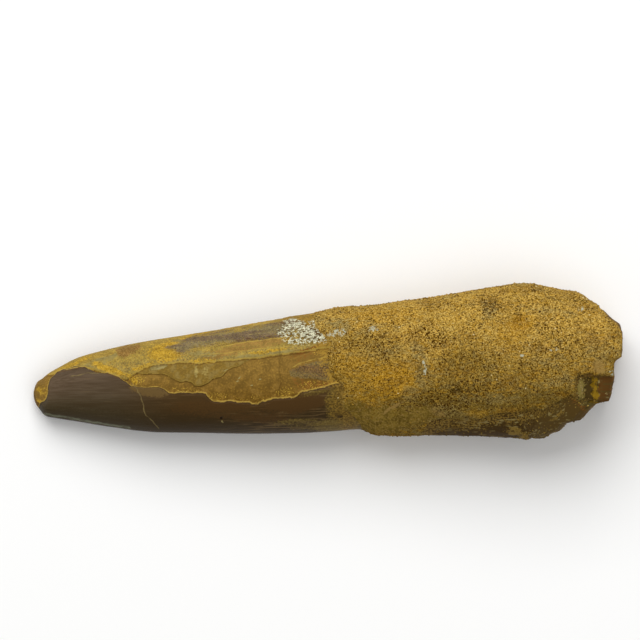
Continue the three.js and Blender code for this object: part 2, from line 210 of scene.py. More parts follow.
CREVICES: tuple[Points, ...] = (
    ((64.8, 1.32), (65.5, 1.19), (66.4, 1.32), (67.3, 1.9), (68.0, 2.55)),
    ((58.6, 3.5), (59.0, 3.77), (59.7, 4.34)), ((60.6, 0.1), (61.6, 0.35)),
    ((49.2, -4.3), (49.8, -4.0), (50.5, -3.6)),
)

# ---------------------------------------------------------------- numbers of the meshes
SUBDIVISIONS = 3
TOOTH_SEGMENTS = 26
CRUST_SEGMENTS = 36
GRAIN_SEED = 7
UNROLLED_RADIUS = 7.0
UPRIGHT = math.pi / 2


def smoothstep(value: Array, low: float, high: float) -> Array:
    """Rises smoothly from 0 at low to 1 at high.

    Args:
        value: numbers to read.
        low: where the rise starts.
        high: where it ends, above or below low.

    Returns:
        Numbers from 0 to 1, in the shape of value.
    """
    t = np.clip((np.asarray(value, float) - low) / (high - low), 0.0, 1.0)
    return t * t * (3.0 - 2.0 * t)


def mix(a: Array, b: Array, share: Array) -> Array:
    """The blend of a and b at a share from 0 to 1."""
    return a + (b - a) * share


class Noise:
    """Smooth value noise from -1 to 1, the same on every run."""

    @staticmethod
    def lattice(cells: Array, seed: int) -> Array:
        """A random number from -1 to 1 for each cell of a lattice.

        Args:
            cells: rows of three whole numbers.
            seed: picks another field.

        Returns:
            One number for each row.
        """
        i, j, k = cells.T
        mixed = (i * 73856093) ^ (j * 19349663) ^ (k * 83492791) ^ (seed * 2654435761)
        mixed = (mixed ^ (mixed >> 13)) * 1274126177
        return ((mixed ^ (mixed >> 16)) & 0xFFFFF) / 524287.5 - 1.0

    @classmethod
    def smooth(cls, points: Array, size: float, seed: int) -> Array:
        """Noise whose lumps are about size apart.

        Args:
            points: rows of x, y, z.
            size: distance between lumps, in the units of points.
            seed: picks another field.

        Returns:
            One number from -1 to 1 for each row.
        """
        scaled = points / size
        base = np.floor(scaled).astype(np.int64)
        share = smoothstep(scaled - base, 0.0, 1.0)
        total = np.zeros(len(points))
        for corner in range(8):
            bits = (corner >> np.arange(3)) & 1
            total += np.prod(np.where(bits, share, 1.0 - share), axis=1) * cls.lattice(base + bits, seed)
        return total

    @classmethod
    def rough(cls, points: Array, size: float, octaves: int, seed: int) -> Array:
        """Noise with finer and finer detail added, each octave at half the size and half the height."""
        total = sum(cls.smooth(points, size / 2**n, seed + 31 * n) / 2**n for n in range(octaves))
        return total / (2.0 - 2.0 ** (1 - octaves))


@dataclass(frozen=True)
class Edge:
    """A smooth edge through measured points, which doesn't overshoot between them."""

    points: Points

    def at(self, along: Array) -> Array:
        """The height of the edge.

        Args:
            along: distances from the tip. Their square root is used, so an edge can leave the tip square on.

        Returns:
            One height for each distance.
        """
        u = np.sqrt([p[0] for p in self.points])
        v = np.array([p[1] for p in self.points], float)
        slope = np.diff(v) / np.diff(u)
        product = slope[:-1] * slope[1:]
        total = slope[:-1] + slope[1:]
        inner = np.where(product > 0, 2 * product / np.where(product > 0, total, 1.0), 0.0)
        tangent = np.concatenate([slope[:1], inner, slope[-1:]])
        x = np.sqrt(np.clip(along, self.points[0][0], self.points[-1][0]))
        b = np.clip(np.searchsorted(u, x), 1, len(u) - 1)
        a = b - 1
        span = u[b] - u[a]
        t = (x - u[a]) / span
        return (
            v[a] * (2 * t**3 - 3 * t**2 + 1)
            + v[b] * (3 * t**2 - 2 * t**3)
            + tangent[a] * span * (t**3 - 2 * t**2 + t)
            + tangent[b] * span * (t**3 - t**2)
        )


@dataclass(frozen=True)
class LineWork:
    """Open lines drawn on the broad side, such as cracks."""

    lines: tuple[Points, ...]

    def distances(self, along: Array, across: Array) -> tuple[Array, Array]:
        """How far each place is from the nearest line.

        Args:
            along: distances from the tip.
            across: heights on the broad side.

        Returns:
            The plain distances, and the same with a sign for the side of the line they are on.
        """
        place = np.stack([along, across], axis=1)
        near, signed = np.full(len(place), np.inf), np.zeros(len(place))
        for line in self.lines:
            corners = np.array(line, float)
            for start, run in zip(corners, np.diff(corners, axis=0)):
                share = np.clip(((place - start) @ run) / (run @ run), 0, 1)
                gap = place - start - share[:, None] * run
                far = np.linalg.norm(gap, axis=1)
                side = np.where(run[0] * gap[:, 1] > run[1] * gap[:, 0], 1.0, -1.0)
                signed = np.where(far < near, far * side, signed)
                near = np.minimum(near, far)
        return near, signed


@dataclass(frozen=True)
class Outline:
    """A closed outline drawn on the broad side."""

    points: Points

    def depth(self, along: Array, across: Array) -> Array:
        """How far inside the outline each place is, negative outside.

        Args:
            along: distances from the tip.
            across: heights on the broad side.

        Returns:
            Signed distances in millimetres.
        """
        near, _ = LineWork(((*self.points, self.points[0]),)).distances(along, across)
        inside = np.zeros(len(along), bool)
        corners = np.array(self.points, float)
        for a, b in zip(corners, np.roll(corners, -1, axis=0)):
            if a[1] != b[1]:
                spans = (a[1] > across) != (b[1] > across)
                inside ^= spans & (along < a[0] + (across - a[1]) * (b[0] - a[0]) / (b[1] - a[1]))
        return np.where(inside, near, -near)


@dataclass(frozen=True)
class Spot:
    """A soft-edged oval on the upward side, for a stain or a change of tone."""

    along: float
    across: float
    half_length: float
    half_height: float
    tilt: float = 0.0
    strength: float = 1.0

    def at(self, along: Array, across: Array) -> Array:
        """The strength of the spot, falling off to nothing round its rim.

        Args:
            along: distances from the tip.
            across: heights on the broad side.

        Returns:
            One strength for each place.
        """
        c, s = math.cos(math.radians(self.tilt)), math.sin(math.radians(self.tilt))
        x, y = along - self.along, across - self.across
        r = np.hypot((x * c + y * s) / self.half_length, (y * c - x * s) / self.half_height)
        return self.strength * smoothstep(r, 1.35, 0.55)


def spots_at(rows: Rows, along: Array, across: Array) -> Array:
    """The strongest of some spots at each place, each row giving the values of one Spot."""
    return np.max([Spot(*row).at(along, across) for row in rows], axis=0)


@dataclass
class Section:
    """The oval sections of the tooth at some distances from the tip."""

    middle: Array
    half_height: Array
    level: Array
    half_depth: Array


@dataclass
class Skin:
    """Where each point of a smoothed cage lies: along the tooth, round it, and on the broken face or not."""

    along: Array
    angle: Array
    share: Array
    cap: Array


@dataclass(frozen=True)
class ToothForm:
    """The whole form of the tooth, in its crust or bare: its sections, its worn tip and its broken end."""

    with_crust: bool
    upper: Edge = Edge(UPPER_EDGE)
    lower: Edge = Edge(LOWER_EDGE)
    crust_lower: Edge = Edge(CRUST_LOWER_EDGE)
    underside: Edge = Edge(UNDERSIDE)
    fracture_relief: float = 0.3
    fracture_lumps: float = 2.2
    worn_relief: float = 0.03
    smallest_half_size: float = 0.01
    rounds: int = 8

    def section(self, along: Array) -> Section:
        """The sections at some distances from the tip.

        Args:
            along: the distances.

        Returns:
            The middle and half sizes at each.
        """
        crust = 0.0 if self.with_crust else CRUST_THICKNESS * smoothstep(along, CRUST_STARTS, CRUST_IS_FULL)
        top, bare, below = (edge.at(along) for edge in (self.upper, self.lower, self.underside))
        lower = np.minimum(bare, self.crust_lower.at(along)) if self.with_crust else bare
        above, upper = below + THICKNESS_SHARE * (top - bare), top - crust
        half_height, half_depth = (upper - lower) / 2, (above - below) / 2 - crust
        return Section((upper + lower) / 2, half_height, (above + below) / 2, half_depth)

    def fracture(self, across: Array, up: Array) -> Array:
        """How far along the broken end is: rounded over at the rim, rough, and hollow at the pulp cavity.

        Args:
            across: heights on the broad side.
            up: heights over the resting plane.

        Returns:
            Distances from the tip.
        """
        s = self.section(np.array([LENGTH]))
        y, z = (across - s.middle) / s.half_height, (up - s.level) / s.half_depth
        radius = np.hypot(y, z)
        rim = np.clip(1 + (radius - 1) * s.half_depth / SHOULDER_RADIUS, 0, 1)
        shoulder = SHOULDER_RADIUS * (1 - np.sqrt(1 - rim * rim)) * np.abs(z) / np.maximum(radius, 0.01)
        pulp = PULP_DEPTH * smoothstep(radius, 0.55, 0.3)
        spot = np.stack([across, up, np.zeros_like(up)], axis=1)
        rough = self.fracture_relief * (1 + Noise.rough(spot, self.fracture_lumps, 4, 5))
        heights = [p[1] for p in BROKEN_END]
        return np.interp(across, heights, [p[0] for p in BROKEN_END]) - shoulder - pulp - rough

    def surface(self, skin: Skin, lift: Array | float) -> Array:
        """Points of the whole form, whose last stretch is drawn back or forward to meet the broken end.

        Args:
            skin: where the points lie on the tooth.
            lift: distances outwards.

        Returns:
            Rows of along, across and up.
        """
        part = np.clip((skin.along - BREAK_STARTS) / (LENGTH - BREAK_STARTS), 0, 1)
        last = part > 0
        along = skin.along.copy()
        for _ in range(self.rounds):
            level = self.drawn_in(skin, along, 0.0)[last]
            reach = self.fracture(level[:, 1], level[:, 2])
            along[last] = (along[last] + mix(BREAK_STARTS, reach, part[last])) / 2
        return self.drawn_in(skin, along, lift)

    def drawn_in(self, skin: Skin, along: Array, lift: Array | float) -> Array:
        """The points, with those of the broken face drawn in towards its middle by their share.

        Args:
            skin: where the points lie on the tooth, 0 at the top and a quarter turn at the upper edge.
            along: distances from the tip.
            lift: distances outwards.

        Returns:
            Rows of along, across and up.
        """
        s = self.section(along)
        across = np.maximum(s.half_height + lift, self.smallest_half_size) * np.sin(skin.angle)
        up = np.maximum(s.half_depth + lift, self.smallest_half_size) * np.cos(skin.angle)
        return np.stack([along, s.middle + across * skin.share, s.level + up * skin.share], axis=1)

    def wear_tip(self, place: Array) -> Array:
        """Presses what stands above the worn face of the tip down onto it.

        Args:
            place: rows of along, across and up.

        Returns:
            The same points, worn.
        """
        a, b, c = (np.array(corner) for corner in WORN_FACE)
        normal = np.cross(b - a, c - a)
        normal *= np.sign(normal[2]) / np.linalg.norm(normal)
        above = (place - a) @ normal
        worn = above + self.worn_relief * Noise.rough(place, 0.7, 3, 11)
        return place - np.where(above > 0, worn, 0.0)[:, None] * normal


@dataclass
class RingCage:
    """A closed cage round the tooth: one ring of points at each station, drawn out ring by ring."""

    name: str
    segments: int
    stations: list[float]
    cap_sizes: list[float]
    form: ToothForm

    def ring(self, along: float) -> tuple[Vector, float, float]:
        """The ring at a station.

        Args:
            along: the station.

        Returns:
            Its centre and its two half sizes.
        """
        s = self.form.section(np.array([along]))
        centre = Vector((along, float(s.middle[0]), float(s.level[0])))
        return centre, float(s.half_height[0]), float(s.half_depth[0])

    def build(self) -> tuple[bpy.types.Object, Skin]:
        """Models the cage with the mesh tools and smooths it.

        Returns:
            The cage's object, still in millimetres and in the outlines' own frame, and where its points lie.
        """
        bpy.ops.object.select_all(action="DESELECT")
        centre, height, depth = self.ring(self.stations[0])
        bpy.ops.mesh.primitive_circle_add(
            vertices=self.segments, radius=1, fill_type="NOTHING", location=centre, rotation=(0, UPRIGHT, 0)
        )
        cage = bpy.context.object
        cage.name = cage.data.name = self.name
        bpy.ops.object.transform_apply(location=True, rotation=True, scale=True)
        bpy.ops.object.mode_set(mode="EDIT")
        bpy.ops.mesh.select_all(action="SELECT")
        self.resize(centre, height, depth)
        for station in self.stations[1:]:
            after, next_height, next_depth = self.ring(station)
            self.draw_out(after - centre)
            self.resize(after, next_height / height, next_depth / depth)
            centre, height, depth = after, next_height, next_depth
        bpy.ops.transform.edge_crease(value=1)
        size = 1.0
        for cap_size in self.cap_sizes:
            self.draw_out(Vector((0, 0, 0)))
            self.resize(centre, cap_size / size, cap_size / size)
            size = cap_size
        self.close_at(centre)
        self.select_first_ring(cage)
        self.close_at(self.ring(self.stations[0] - 1 if self.form.with_crust else 0.0)[0])
        bpy.ops.mesh.select_all(action="SELECT")
        bpy.ops.mesh.normals_make_consistent(inside=False)
        bpy.ops.object.mode_set(mode="OBJECT")
        smooth = cage.modifiers.new("rounding", "SUBSURF")
        smooth.levels = smooth.render_levels = SUBDIVISIONS
        bpy.ops.object.modifier_apply(modifier=smooth.name)
        return cage, self.skin(cage)

    @staticmethod
    def draw_out(step: Vector) -> None:
        """Extrudes the selected ring by a step."""
        bpy.ops.mesh.extrude_region_move(TRANSFORM_OT_translate={"value": step})

    @staticmethod
    def resize(centre: Vector, across: float, up: float) -> None:
        """Resizes the selected ring about its centre."""
        bpy.ops.transform.resize(value=(1, across, up), center_override=centre)

    def close_at(self, pole: Vector) -> None:
        """Draws the selected ring together at a pole.

        Args:
            pole: where its points meet.
        """
        self.draw_out(Vector((0, 0, 0)))
        bpy.ops.mesh.merge(type="CENTER")
        bpy.context.object.update_from_editmode()
        merged = next(v.co.copy() for v in bpy.context.object.data.vertices if v.select)
        bpy.ops.transform.translate(value=pole - merged)

    def select_first_ring(self, cage: bpy.types.Object) -> None:
        """Selects the ring at the first station.

        Args:
            cage: the cage, in edit mode.
        """
        bpy.ops.mesh.select_all(action="DESELECT")
        bpy.ops.object.mode_set(mode="OBJECT")
        for vertex in cage.data.vertices:
            vertex.select = vertex.co.x < self.stations[0] + 1e-4
        bpy.ops.object.mode_set(mode="EDIT")

    def skin(self, cage: bpy.types.Object) -> Skin:
        """Reads back where the points of the smoothed cage lie.

        Args:
            cage: the smoothed cage, in millimetres.

        Returns:
            The places of its points.
        """
        co = np.empty(len(cage.data.vertices) * 3)
        cage.data.vertices.foreach_get("co", co)
        co = co.reshape(-1, 3)
        s = self.form.section(co[:, 0])
        y, z = (co[:, 1] - s.middle) / s.half_height, (co[:, 2] - s.level) / s.half_depth
        cap = co[:, 0] > LENGTH - 1e-3
        drawn_in = (4 + 2 * math.cos(2 * math.pi / self.segments)) / 6
        share = np.where(cap, np.clip(np.hypot(y, z) / drawn_in, 0, 1), 1.0)
        return Skin(co[:, 0], np.arctan2(y, z), share, cap)


def add_field(thing: bpy.types.Object, name: str, values: Array) -> None:
    """Stores a number or a vector for each point of a mesh, for its material to read."""
    kind, key = ("FLOAT", "value") if values.ndim == 1 else ("FLOAT_VECTOR", "vector")
    thing.data.attributes.new(name, kind, "POINT").data.foreach_set(key, values.astype(np.float32).ravel())


class ToothPlacer:
    """Brings pieces made in the outlines' own frame into the shared frame."""

    def __init__(self) -> None:
        """Works out the shift from the box of the solid."""
        low, high = CAD_BOX
        top, bottom = max(p[1] for p in UPPER_EDGE), min(p[1] for p in LOWER_EDGE)
        self.shift = np.array([low.x / MM, (low.y + high.y) / 2 / MM - (top + bottom) / 2, 0.0])

    def dress(
        self, thing: bpy.types.Object, points: Array, fields: dict[str, Array], material: bpy.types.Material
    ) -> bpy.types.Object:
        """Moves the points of a mesh, none under the resting plane, and gives it its fields and material.

        Args:
            thing: the mesh's object.
            points: where its points go, in millimetres and in the outlines' own frame.
            fields: numbers or vectors for each point, by name.
            material: the material.

        Returns:
            The finished object.
        """
        moved = points + self.shift
        moved[:, 2] = np.maximum(moved[:, 2], 0)
        thing.data.vertices.foreach_set("co", (moved * MM).astype(np.float32).ravel())
        thing.data.update()
        for name, values in fields.items():
            add_field(thing, name, values)
        bpy.ops.object.shade_smooth()
        thing.data.materials.append(material)
        return thing


def unrolled(along: Array, across: Array, angle: Array) -> Array:
    """The surface unrolled, in millimetres, for patterns that run straight along the tooth."""
    return np.stack([along, across, UNROLLED_RADIUS * np.cos(angle)], axis=1)


# ---------------------------------------------------------------- materials
def linear(hex_colour: str) -> tuple[float, float, float, float]:
    """Turns an sRGB hex colour to linear light."""
    channels = [int(hex_colour[i : i + 2], 16) / 255 for i in (1, 3, 5)]
    return (*(c / 12.92 if c <= 0.04045 else ((c + 0.055) / 1.055) ** 2.4 for c in channels), 1.0)


class Kind(Enum):
    """The kinds of node in use: Blender's name, the sockets filled in order, the output, and settings."""

    FIELD = ("ShaderNodeAttribute", (), "Fac", {})
    FLOW = ("ShaderNodeAttribute", (), "Vector", {"attribute_name": "flow"})
    PLACE = ("ShaderNodeTexCoord", (), "Object", {})
    ALONG = ("ShaderNodeSeparateXYZ", (0,), "X", {})
    STRETCH = ("ShaderNodeMapping", ("Vector", "Scale"), "Vector", {})
    NOISE = ("ShaderNodeTexNoise", ("Vector", "Scale", "Detail"), 0, {})
    CELLS = ("ShaderNodeTexVoronoi", ("Vector", "Scale"), "Color", {})
    RAMP = ("ShaderNodeMapRange", (0, 1, 2, 3, 4), 0, {"interpolation_type": "SMOOTHSTEP"})
    BLEND = ("ShaderNodeMix", (0, 6, 7), 2, {"data_type": "RGBA"})
    TIMES = ("ShaderNodeMath", (0, 1), 0, {"operation": "MULTIPLY"})
    PLUS = ("ShaderNodeMath", (0, 1), 0, {"operation": "ADD"})
    MINUS = ("ShaderNodeMath", (0, 1), 0, {"operation": "SUBTRACT"})
    SIZE = ("ShaderNodeMath", (0,), 0, {"operation": "ABSOLUTE"})
    SHADE = ("ShaderNodeHueSaturation", ("Color", "Value"), 0, {})
    BUMP = ("ShaderNodeBump", ("Height", "Strength", "Distance", "Normal"), 0, {})
    SHADER = (
        "ShaderNodeBsdfPrincipled", ("Base Color", "Roughness", "Normal", "IOR", "Specular IOR Level"), 0, {},
    )
    OUTPUT = ("ShaderNodeOutputMaterial", ("Surface",), None, {})


class Sketch:
    """A material's node tree, written from its patterns to its shader."""

    def __init__(self, name: str) -> None:
        """Starts an empty material named for the real one."""
        self.material = bpy.data.materials.new(name)
        self.material.use_nodes = True
        self.tree = self.material.node_tree
        self.tree.nodes.clear()

    def add(self, kind: Kind, *inputs: object, **settings: object) -> Socket | None:
        """Adds a node with its settings and links.

        Args:
            kind: the kind of node.
            inputs: for each of the kind's sockets a number, a hex colour, the name of a field of the mesh, or
                another node's output.
            settings: more of the node's own properties.

        Returns:
            The output that the kind names.
        """
        name, sockets, output, usual = kind.value
        node = self.tree.nodes.new(name)
        for key, value in {**usual, **settings}.items():
            setattr(node, key, value)
        for key, value in zip(sockets, inputs):
            if isinstance(value, str):
                is_colour = value.startswith("#")
                value = linear(value) if is_colour else self.add(Kind.FIELD, attribute_name=value)
            if isinstance(value, Socket):
                self.tree.links.new(value, node.inputs[key])
            else:
                node.inputs[key].default_value = value
        return None if output is None else node.outputs[output]

    def lay(self, colour: str | Socket, *layers: tuple) -> Socket:
        """Lays tones over a colour, one after another.

        Args:
            colour: the colour under them.
            layers: each ends in its tone. Before the tone stands its share, or else four values: the pattern
                that it follows, the levels of the pattern where it sets in and is full, and its share there.

        Returns:
            The colour with the tones over it.
        """
        for *mask, tone in layers:
            share = mask[0]
            if len(mask) > 1:
                pattern, start, full, most = mask
                share = self.add(Kind.RAMP, pattern, start, full, 0.0, most)
            colour = self.add(Kind.BLEND, share, colour, tone)
        return colour

    def finish(self, shader: Socket) -> bpy.types.Material:
        """Links the shader to the output and gives the material."""
        self.add(Kind.OUTPUT, shader)
        return self.material


@dataclass
class RaggedMarks:
    """Masks read from the mesh's fields, with edges broken up by two sizes of noise."""

    sketch: Sketch
    fine: Socket
    coarse: Socket
    line_wander: float = 0.15

    def ragged(self, name: str, amount: float) -> Socket:
        """A field plus noise.

        Args:
            name: the field.
            amount: how much noise to add.

        Returns:
            The sum.
        """
        s = self.sketch
        noise = s.add(Kind.MINUS, s.add(Kind.PLUS, self.fine, self.coarse), 1.0)
        return s.add(Kind.PLUS, s.add(Kind.TIMES, noise, amount), name)

    def cover(self, name: str, amount: float, soft: float) -> Socket:
        """The share of a spot's colour, for a field that runs from 0 to 1.

        Args:
            name: the field.
            amount: how ragged the spot is.
            soft: how slowly its colour sets in.

        Returns:
            The share.
        """
        s = self.sketch
        ragged = s.add(Kind.RAMP, self.ragged(name, amount), 0.5 - soft, 0.5 + soft)
        return s.add(Kind.TIMES, s.add(Kind.RAMP, name, 0.0, 0.3), ragged)

    def edge(self, name: str, amount: float, soft: float) -> Socket:
        """The share inside an outline, for a field in millimetres."""
        return self.sketch.add(Kind.RAMP, self.ragged(name, amount), -soft, soft)

    def line(self, name: str, level: float, width: float, strength: float, drawn: bool = False) -> Socket:
        """A broken line along an outline, or one drawn with LineWork's two distances.

        Args:
            name: the field in millimetres.
            level: how far inside the outline the line runs.
            width: half its width.
            strength: its share at full strength.
            drawn: whether it is drawn with two distances.

        Returns:
            The share.
        """
        s = self.sketch
        off = s.add(Kind.SIZE, s.add(Kind.MINUS, self.ragged(name, self.line_wander), level))
        on = s.add(Kind.RAMP, off, width, width * 0.3, 0.0, strength)
        if drawn:
            on = s.add(Kind.TIMES, on, s.add(Kind.RAMP, name + "_near", 0.3, 0.2))
        full, least, most = (0.6, 0.2, 0.9) if drawn else (0.5, 0.3, 1.0)
        return s.add(Kind.TIMES, on, s.add(Kind.RAMP, self.coarse, 0.3, full, least, most))


@dataclass(frozen=True)
class ToothFinish:
    """Mineralised enamel and dentine: hard, close-grained and softly shining where rivers polished it.

    To the eye the enamel is a dark grey-brown glaze with fine ridges running to the tip, and the dentine
    under it a warm ochre ground, brighter wherever an edge has chipped and taken up iron-rich dust. Both are
    painted darker towards the lower edge, partly their own colour and partly shade, and the chipped ledges
    carry painted shadow and pale lines that are partly painted highlight.
    """

    # dentine and enamel colours run from the lower edge to the upper: partly the tooth's own colour, partly
    # painted shade where the surface turns from the light above
    dentine_low: str = "#6d4f17"
    dentine_high: str = "#82642a"
    enamel_low: str = "#3d2b12"
    enamel_mid: str = "#4a361b"
    enamel_high: str = "#60482a"
    enamel_grey: str = "#5f5040"
    enamel_olive: str = "#483f2c"
    enamel_foot: str = "#352a14"
    enamel_band: str = "#35260f"
    ridge: str = "#6b5638"
    streak: str = "#735b38"
    enamel_rust: str = "#4c3518"
    sheet: str = "#99833f"
    plate: str = "#836829"
    strip: str = "#7d6f4d"
    lilac: str = "#655044"
    patch: str = "#6a5235"
    dust: str = "#9c781d"
    dust_light: str = "#b89537"
    brown: str = "#876931"
    brown_patch: str = "#7f5e2b"
    brown_light: str = "#97783f"
    tan: str = "#927238"
    grey: str = "#7b6c40"
    stone: str = "#8a7a46"
    chalk: str = "#8f8b70"
    pale: str = "#d4d1b3"
    crevice: str = "#4a3416"
    clear: str = "#9a864a"
    rust: str = "#77511f"
    film: str = "#5b491d"
    film_light: str = "#6e5a26"
    film_sand: str = "#86713a"
    film_edge: str = "#5e4718"
    film_edge_light: str = "#86692a"
    stain: str = "#66502c"
    # edge: pale lines along chipped edges, partly their own colour and partly painted highlight on the ledges
    edge: str = "#ae9140"
    # sheet_shade and enamel_shade: painted shadow along the ledges of the sheet and the enamel
    sheet_shade: str = "#5f3f18"
    strip_shade: str = "#59402c"
    enamel_shade: str = "#35240f"
    crack: str = "#857448"
    speck: str = "#2a1c0d"
    smudge: str = "#3a2b12"
    # gap: dark specks, cracks and chips, and also the painted shadow under the plate's lower edge
    gap: str = "#4a3310"
    root: str = "#432f0a"
    root_mottle: str = "#3b2b10"
    root_end: str = "#5a4720"
    root_sand: str = "#3d2a10"
    root_sand_light: str = "#81662a"
    fleck: str = "#8d7c4b"
    broken: str = "#80602a"
    broken_dark: str = "#5c431b"
    # pale ticks, and a painted glint on the glossy face of the broken end
    tick: str = "#9a8b58"
    facet: str = "#8a6a2c"
    sand: str = "#93732c"
    carina: str = "#6e6f57"
    # the 'lit' tone is painted light on edges of the broken end; the others are the tooth's own colours
    stains: tuple[tuple[str, str], ...] = (
        ("chocolate", "#543f19"), ("smear", "#7c632a"), ("granular", "#5e4f24"), ("olive", "#463614"),
        ("gloss", "#5a3b15"), ("yellow", "#866814"), ("seam", "#7d6d35"), ("lit", "#7d4e1b"),
    )
    ridge_size: float = 0.2
    band_size: float = 1.1
    grit_size: float = 0.22
    mottle_size: float = 0.9
    fleck_size: float = 0.4
    powder_size: float = 0.14
    crumb_size: float = 0.26
    chip_size: float = 0.7 * MM
    grit_height: float = 0.06 * MM
    ridge_height: float = 0.03 * MM
    dentine_roughness: float = 0.7
    enamel_roughness: float = 0.5
    refraction: float = 1.6
    shine: float = 0.05

    def make(self) -> bpy.types.Material:
        """Builds the material.

        Returns:
            The material, drawn along the tooth in the unrolled surface's millimetres.
        """
        s = Sketch("mineralised_enamel_and_dentine")
        rolled = s.add(Kind.FLOW)
        along = s.add(Kind.ALONG, rolled)
        drawn_out = s.add(Kind.STRETCH, rolled, (0.08, 1.0, 1.0))
        ridges = s.add(Kind.NOISE, drawn_out, 1 / self.ridge_size, 3.0)  # real ridges are finer still
        bands = s.add(Kind.NOISE, drawn_out, 1 / self.band_size, 4.0)
        grit = s.add(Kind.NOISE, rolled, 1 / self.grit_size, 2.0)
        mottle = s.add(Kind.NOISE, rolled, 1 / self.mottle_size, 5.0)
        marks, streaks = RaggedMarks(s, grit, mottle), RaggedMarks(s, grit, bands)
        uneven = s.add(Kind.RAMP, s.add(Kind.PLUS, grit, mottle), 0.75, 1.25, 0.78, 1.22)
        ground = s.add(Kind.SHADE, self.ground(s, marks, streaks), uneven)
        crown = s.lay(ground, ("enamel", -0.03, 0.03, 1.0, self.enamel(s, ridges, marks, streaks)))
        flecks = s.add(Kind.NOISE, s.add(Kind.STRETCH, rolled, (0.4, 1.0, 1.0)), 1 / self.fleck_size, 1.0)
        flecks = s.add(Kind.RAMP, flecks, 0.6, 0.67)
        flecks = s.add(Kind.TIMES, flecks, s.add(Kind.RAMP, along, 49, 56, 0.25, 0.8))
        sandy = s.lay(self.root_sand, (grit, 0.38, 0.6, 1.0, self.root_sand_light))
        bare = s.lay(
            self.root, (mottle, 0.4, 0.65, 0.7, self.root_mottle), (along, 60.5, 64.0, 0.7, self.root_end),
            (marks.cover("sandy", 3.0, 0.4), sandy), (flecks, self.fleck),
        )
        chips = s.add(Kind.NOISE, s.add(Kind.PLACE), 1 / self.chip_size, 6.0)
        broken = s.lay(
            self.broken, (chips, 0.4, 0.6, 1.0, self.broken_dark), (chips, 0.4, 0.3, 0.7, self.gap),
        )
        colour = s.lay(
            self.lines(s, marks, crown), ("root", bare), ("rim", broken),
            # the stains, among them the 'lit' tone: painted light on edges of the broken end
            *((marks.cover(name, 3.2, 0.3), tone) for name, tone in self.stains),
            # pale ticks, and a painted glint on the broken end's glossy face
            (marks.cover("tick", 0.8, 0.2), self.tick),
        )
        rough = s.add(Kind.RAMP, "enamel", -0.05, 0.05, self.dentine_roughness, self.enamel_roughness)
        bumps = s.add(Kind.BUMP, ridges, 0.15, self.ridge_height)
        bumps = s.add(Kind.BUMP, grit, 0.4, self.grit_height, bumps)
        return s.finish(s.add(Kind.SHADER, colour, rough, bumps, self.refraction, self.shine))

    def ground(self, s: Sketch, marks: RaggedMarks, streaks: RaggedMarks) -> Socket:
        """The colour of the dentine and the thin sheets over it, with their stains and dust.

        Args:
            s: the material.
            marks: masks with blotchy edges.
            streaks: masks with edges drawn out along the tooth.

        Returns:
            The colour.
        """
        grit, mottle, bands = marks.fine, marks.coarse, streaks.coarse
        powder = s.add(Kind.NOISE, s.add(Kind.FLOW), 1 / self.powder_size, 1.0)
        dust = s.lay(
            self.dust, (powder, 0.35, 0.65, 1.0, self.dust_light), (grit, 0.38, 0.3, 0.85, self.rust),
        )
        sheet = s.lay(
            self.sheet, (bands, 0.38, 0.6, 0.85, self.stone),
            (streaks.ragged("rise", 1.6), 0.45, 0.95, 0.45, dust),
            (powder, 0.54, 0.7, 0.7, self.dust_light), (powder, 0.46, 0.3, 0.7, self.rust),
        )
        strip = s.lay(
            self.strip, (bands, 0.45, 0.62, 0.7, self.lilac), (powder, 0.52, 0.68, 0.7, self.sheet),
            (powder, 0.45, 0.3, 0.6, self.gap), (streaks.ragged("strip", 1.2), 0.3, -0.2, 0.5, dust),
        )
        patch = s.lay(
            self.patch, (bands, 0.42, 0.6, 0.7, self.grey), (powder, 0.52, 0.68, 0.75, self.sand),
            (powder, 0.46, 0.3, 0.75, self.gap),
        )
        specks = s.add(Kind.RAMP, s.add(Kind.PLUS, powder, s.add(Kind.TIMES, "flecks", 0.16)), 0.68, 0.74)
        specks = s.add(Kind.TIMES, specks, s.add(Kind.RAMP, "flecks", 0.0, 0.5, 0.0, 0.9))
        crumbs = s.add(Kind.STRETCH, s.add(Kind.FLOW), (0.6, 1.0, 1.0))
        crumbs = s.add(Kind.NOISE, crumbs, 1 / self.crumb_size, 4.0)
        hollows = s.add(Kind.TIMES, "pale", s.add(Kind.RAMP, crumbs, 0.53, 0.46, 0.0, 0.95))
        chalk = s.lay(
            self.chalk, (powder, 0.36, 0.62, 1.0, self.pale), (crumbs, 0.5, 0.42, 1.0, self.crevice),
        )
        plate = s.lay(
            self.plate, (mottle, 0.42, 0.62, 0.42, self.grey), (mottle, 0.45, 0.3, 0.32, self.brown),
        )
        brown = s.lay(self.brown_patch, (powder, 0.45, 0.62, 1.0, self.brown_light))
        facet = s.lay(self.facet, (mottle, 0.4, 0.65, 1.0, dust))
        return s.lay(
            # darker towards the lower edge: partly the dentine's own colour, partly painted shade
            self.dentine_low, ("rise", -0.6, 0.3, 1.0, self.dentine_high),
            (mottle, 0.5, 0.7, 0.42, self.brown), (grit, 0.6, 0.75, 0.25, self.dust_light),
            (marks.edge("plate", 0.0, 0.04), plate), (marks.edge("sheet", 0.0, 0.04), sheet),
            (streaks.cover("tan", 2.0, 0.25), s.lay(self.tan, (powder, 0.52, 0.34, 0.9, self.brown))),
            (streaks.cover("grey", 2.2, 0.25), self.stone), (marks.cover("rust", 2.4, 0.3), self.rust),
            (marks.cover("dust", 1.4, 0.4), dust), (marks.edge("brown", 0.8, 0.06), brown),
            (specks, self.dust_light), (streaks.edge("strip", 1.4, 0.2), strip),
            (marks.edge("patch", 0.6, 0.1), patch),
            (marks.cover("sandy", 2.2, 0.4), s.lay(self.sand, (grit, 0.45, 0.32, 0.7, self.gap))),
            (hollows, self.crevice), (RaggedMarks(s, grit, crumbs).cover("pale", 5.0, 0.15), chalk),
            (marks.cover("clear", 1.5, 0.4), self.clear), ("worn", facet),
        )

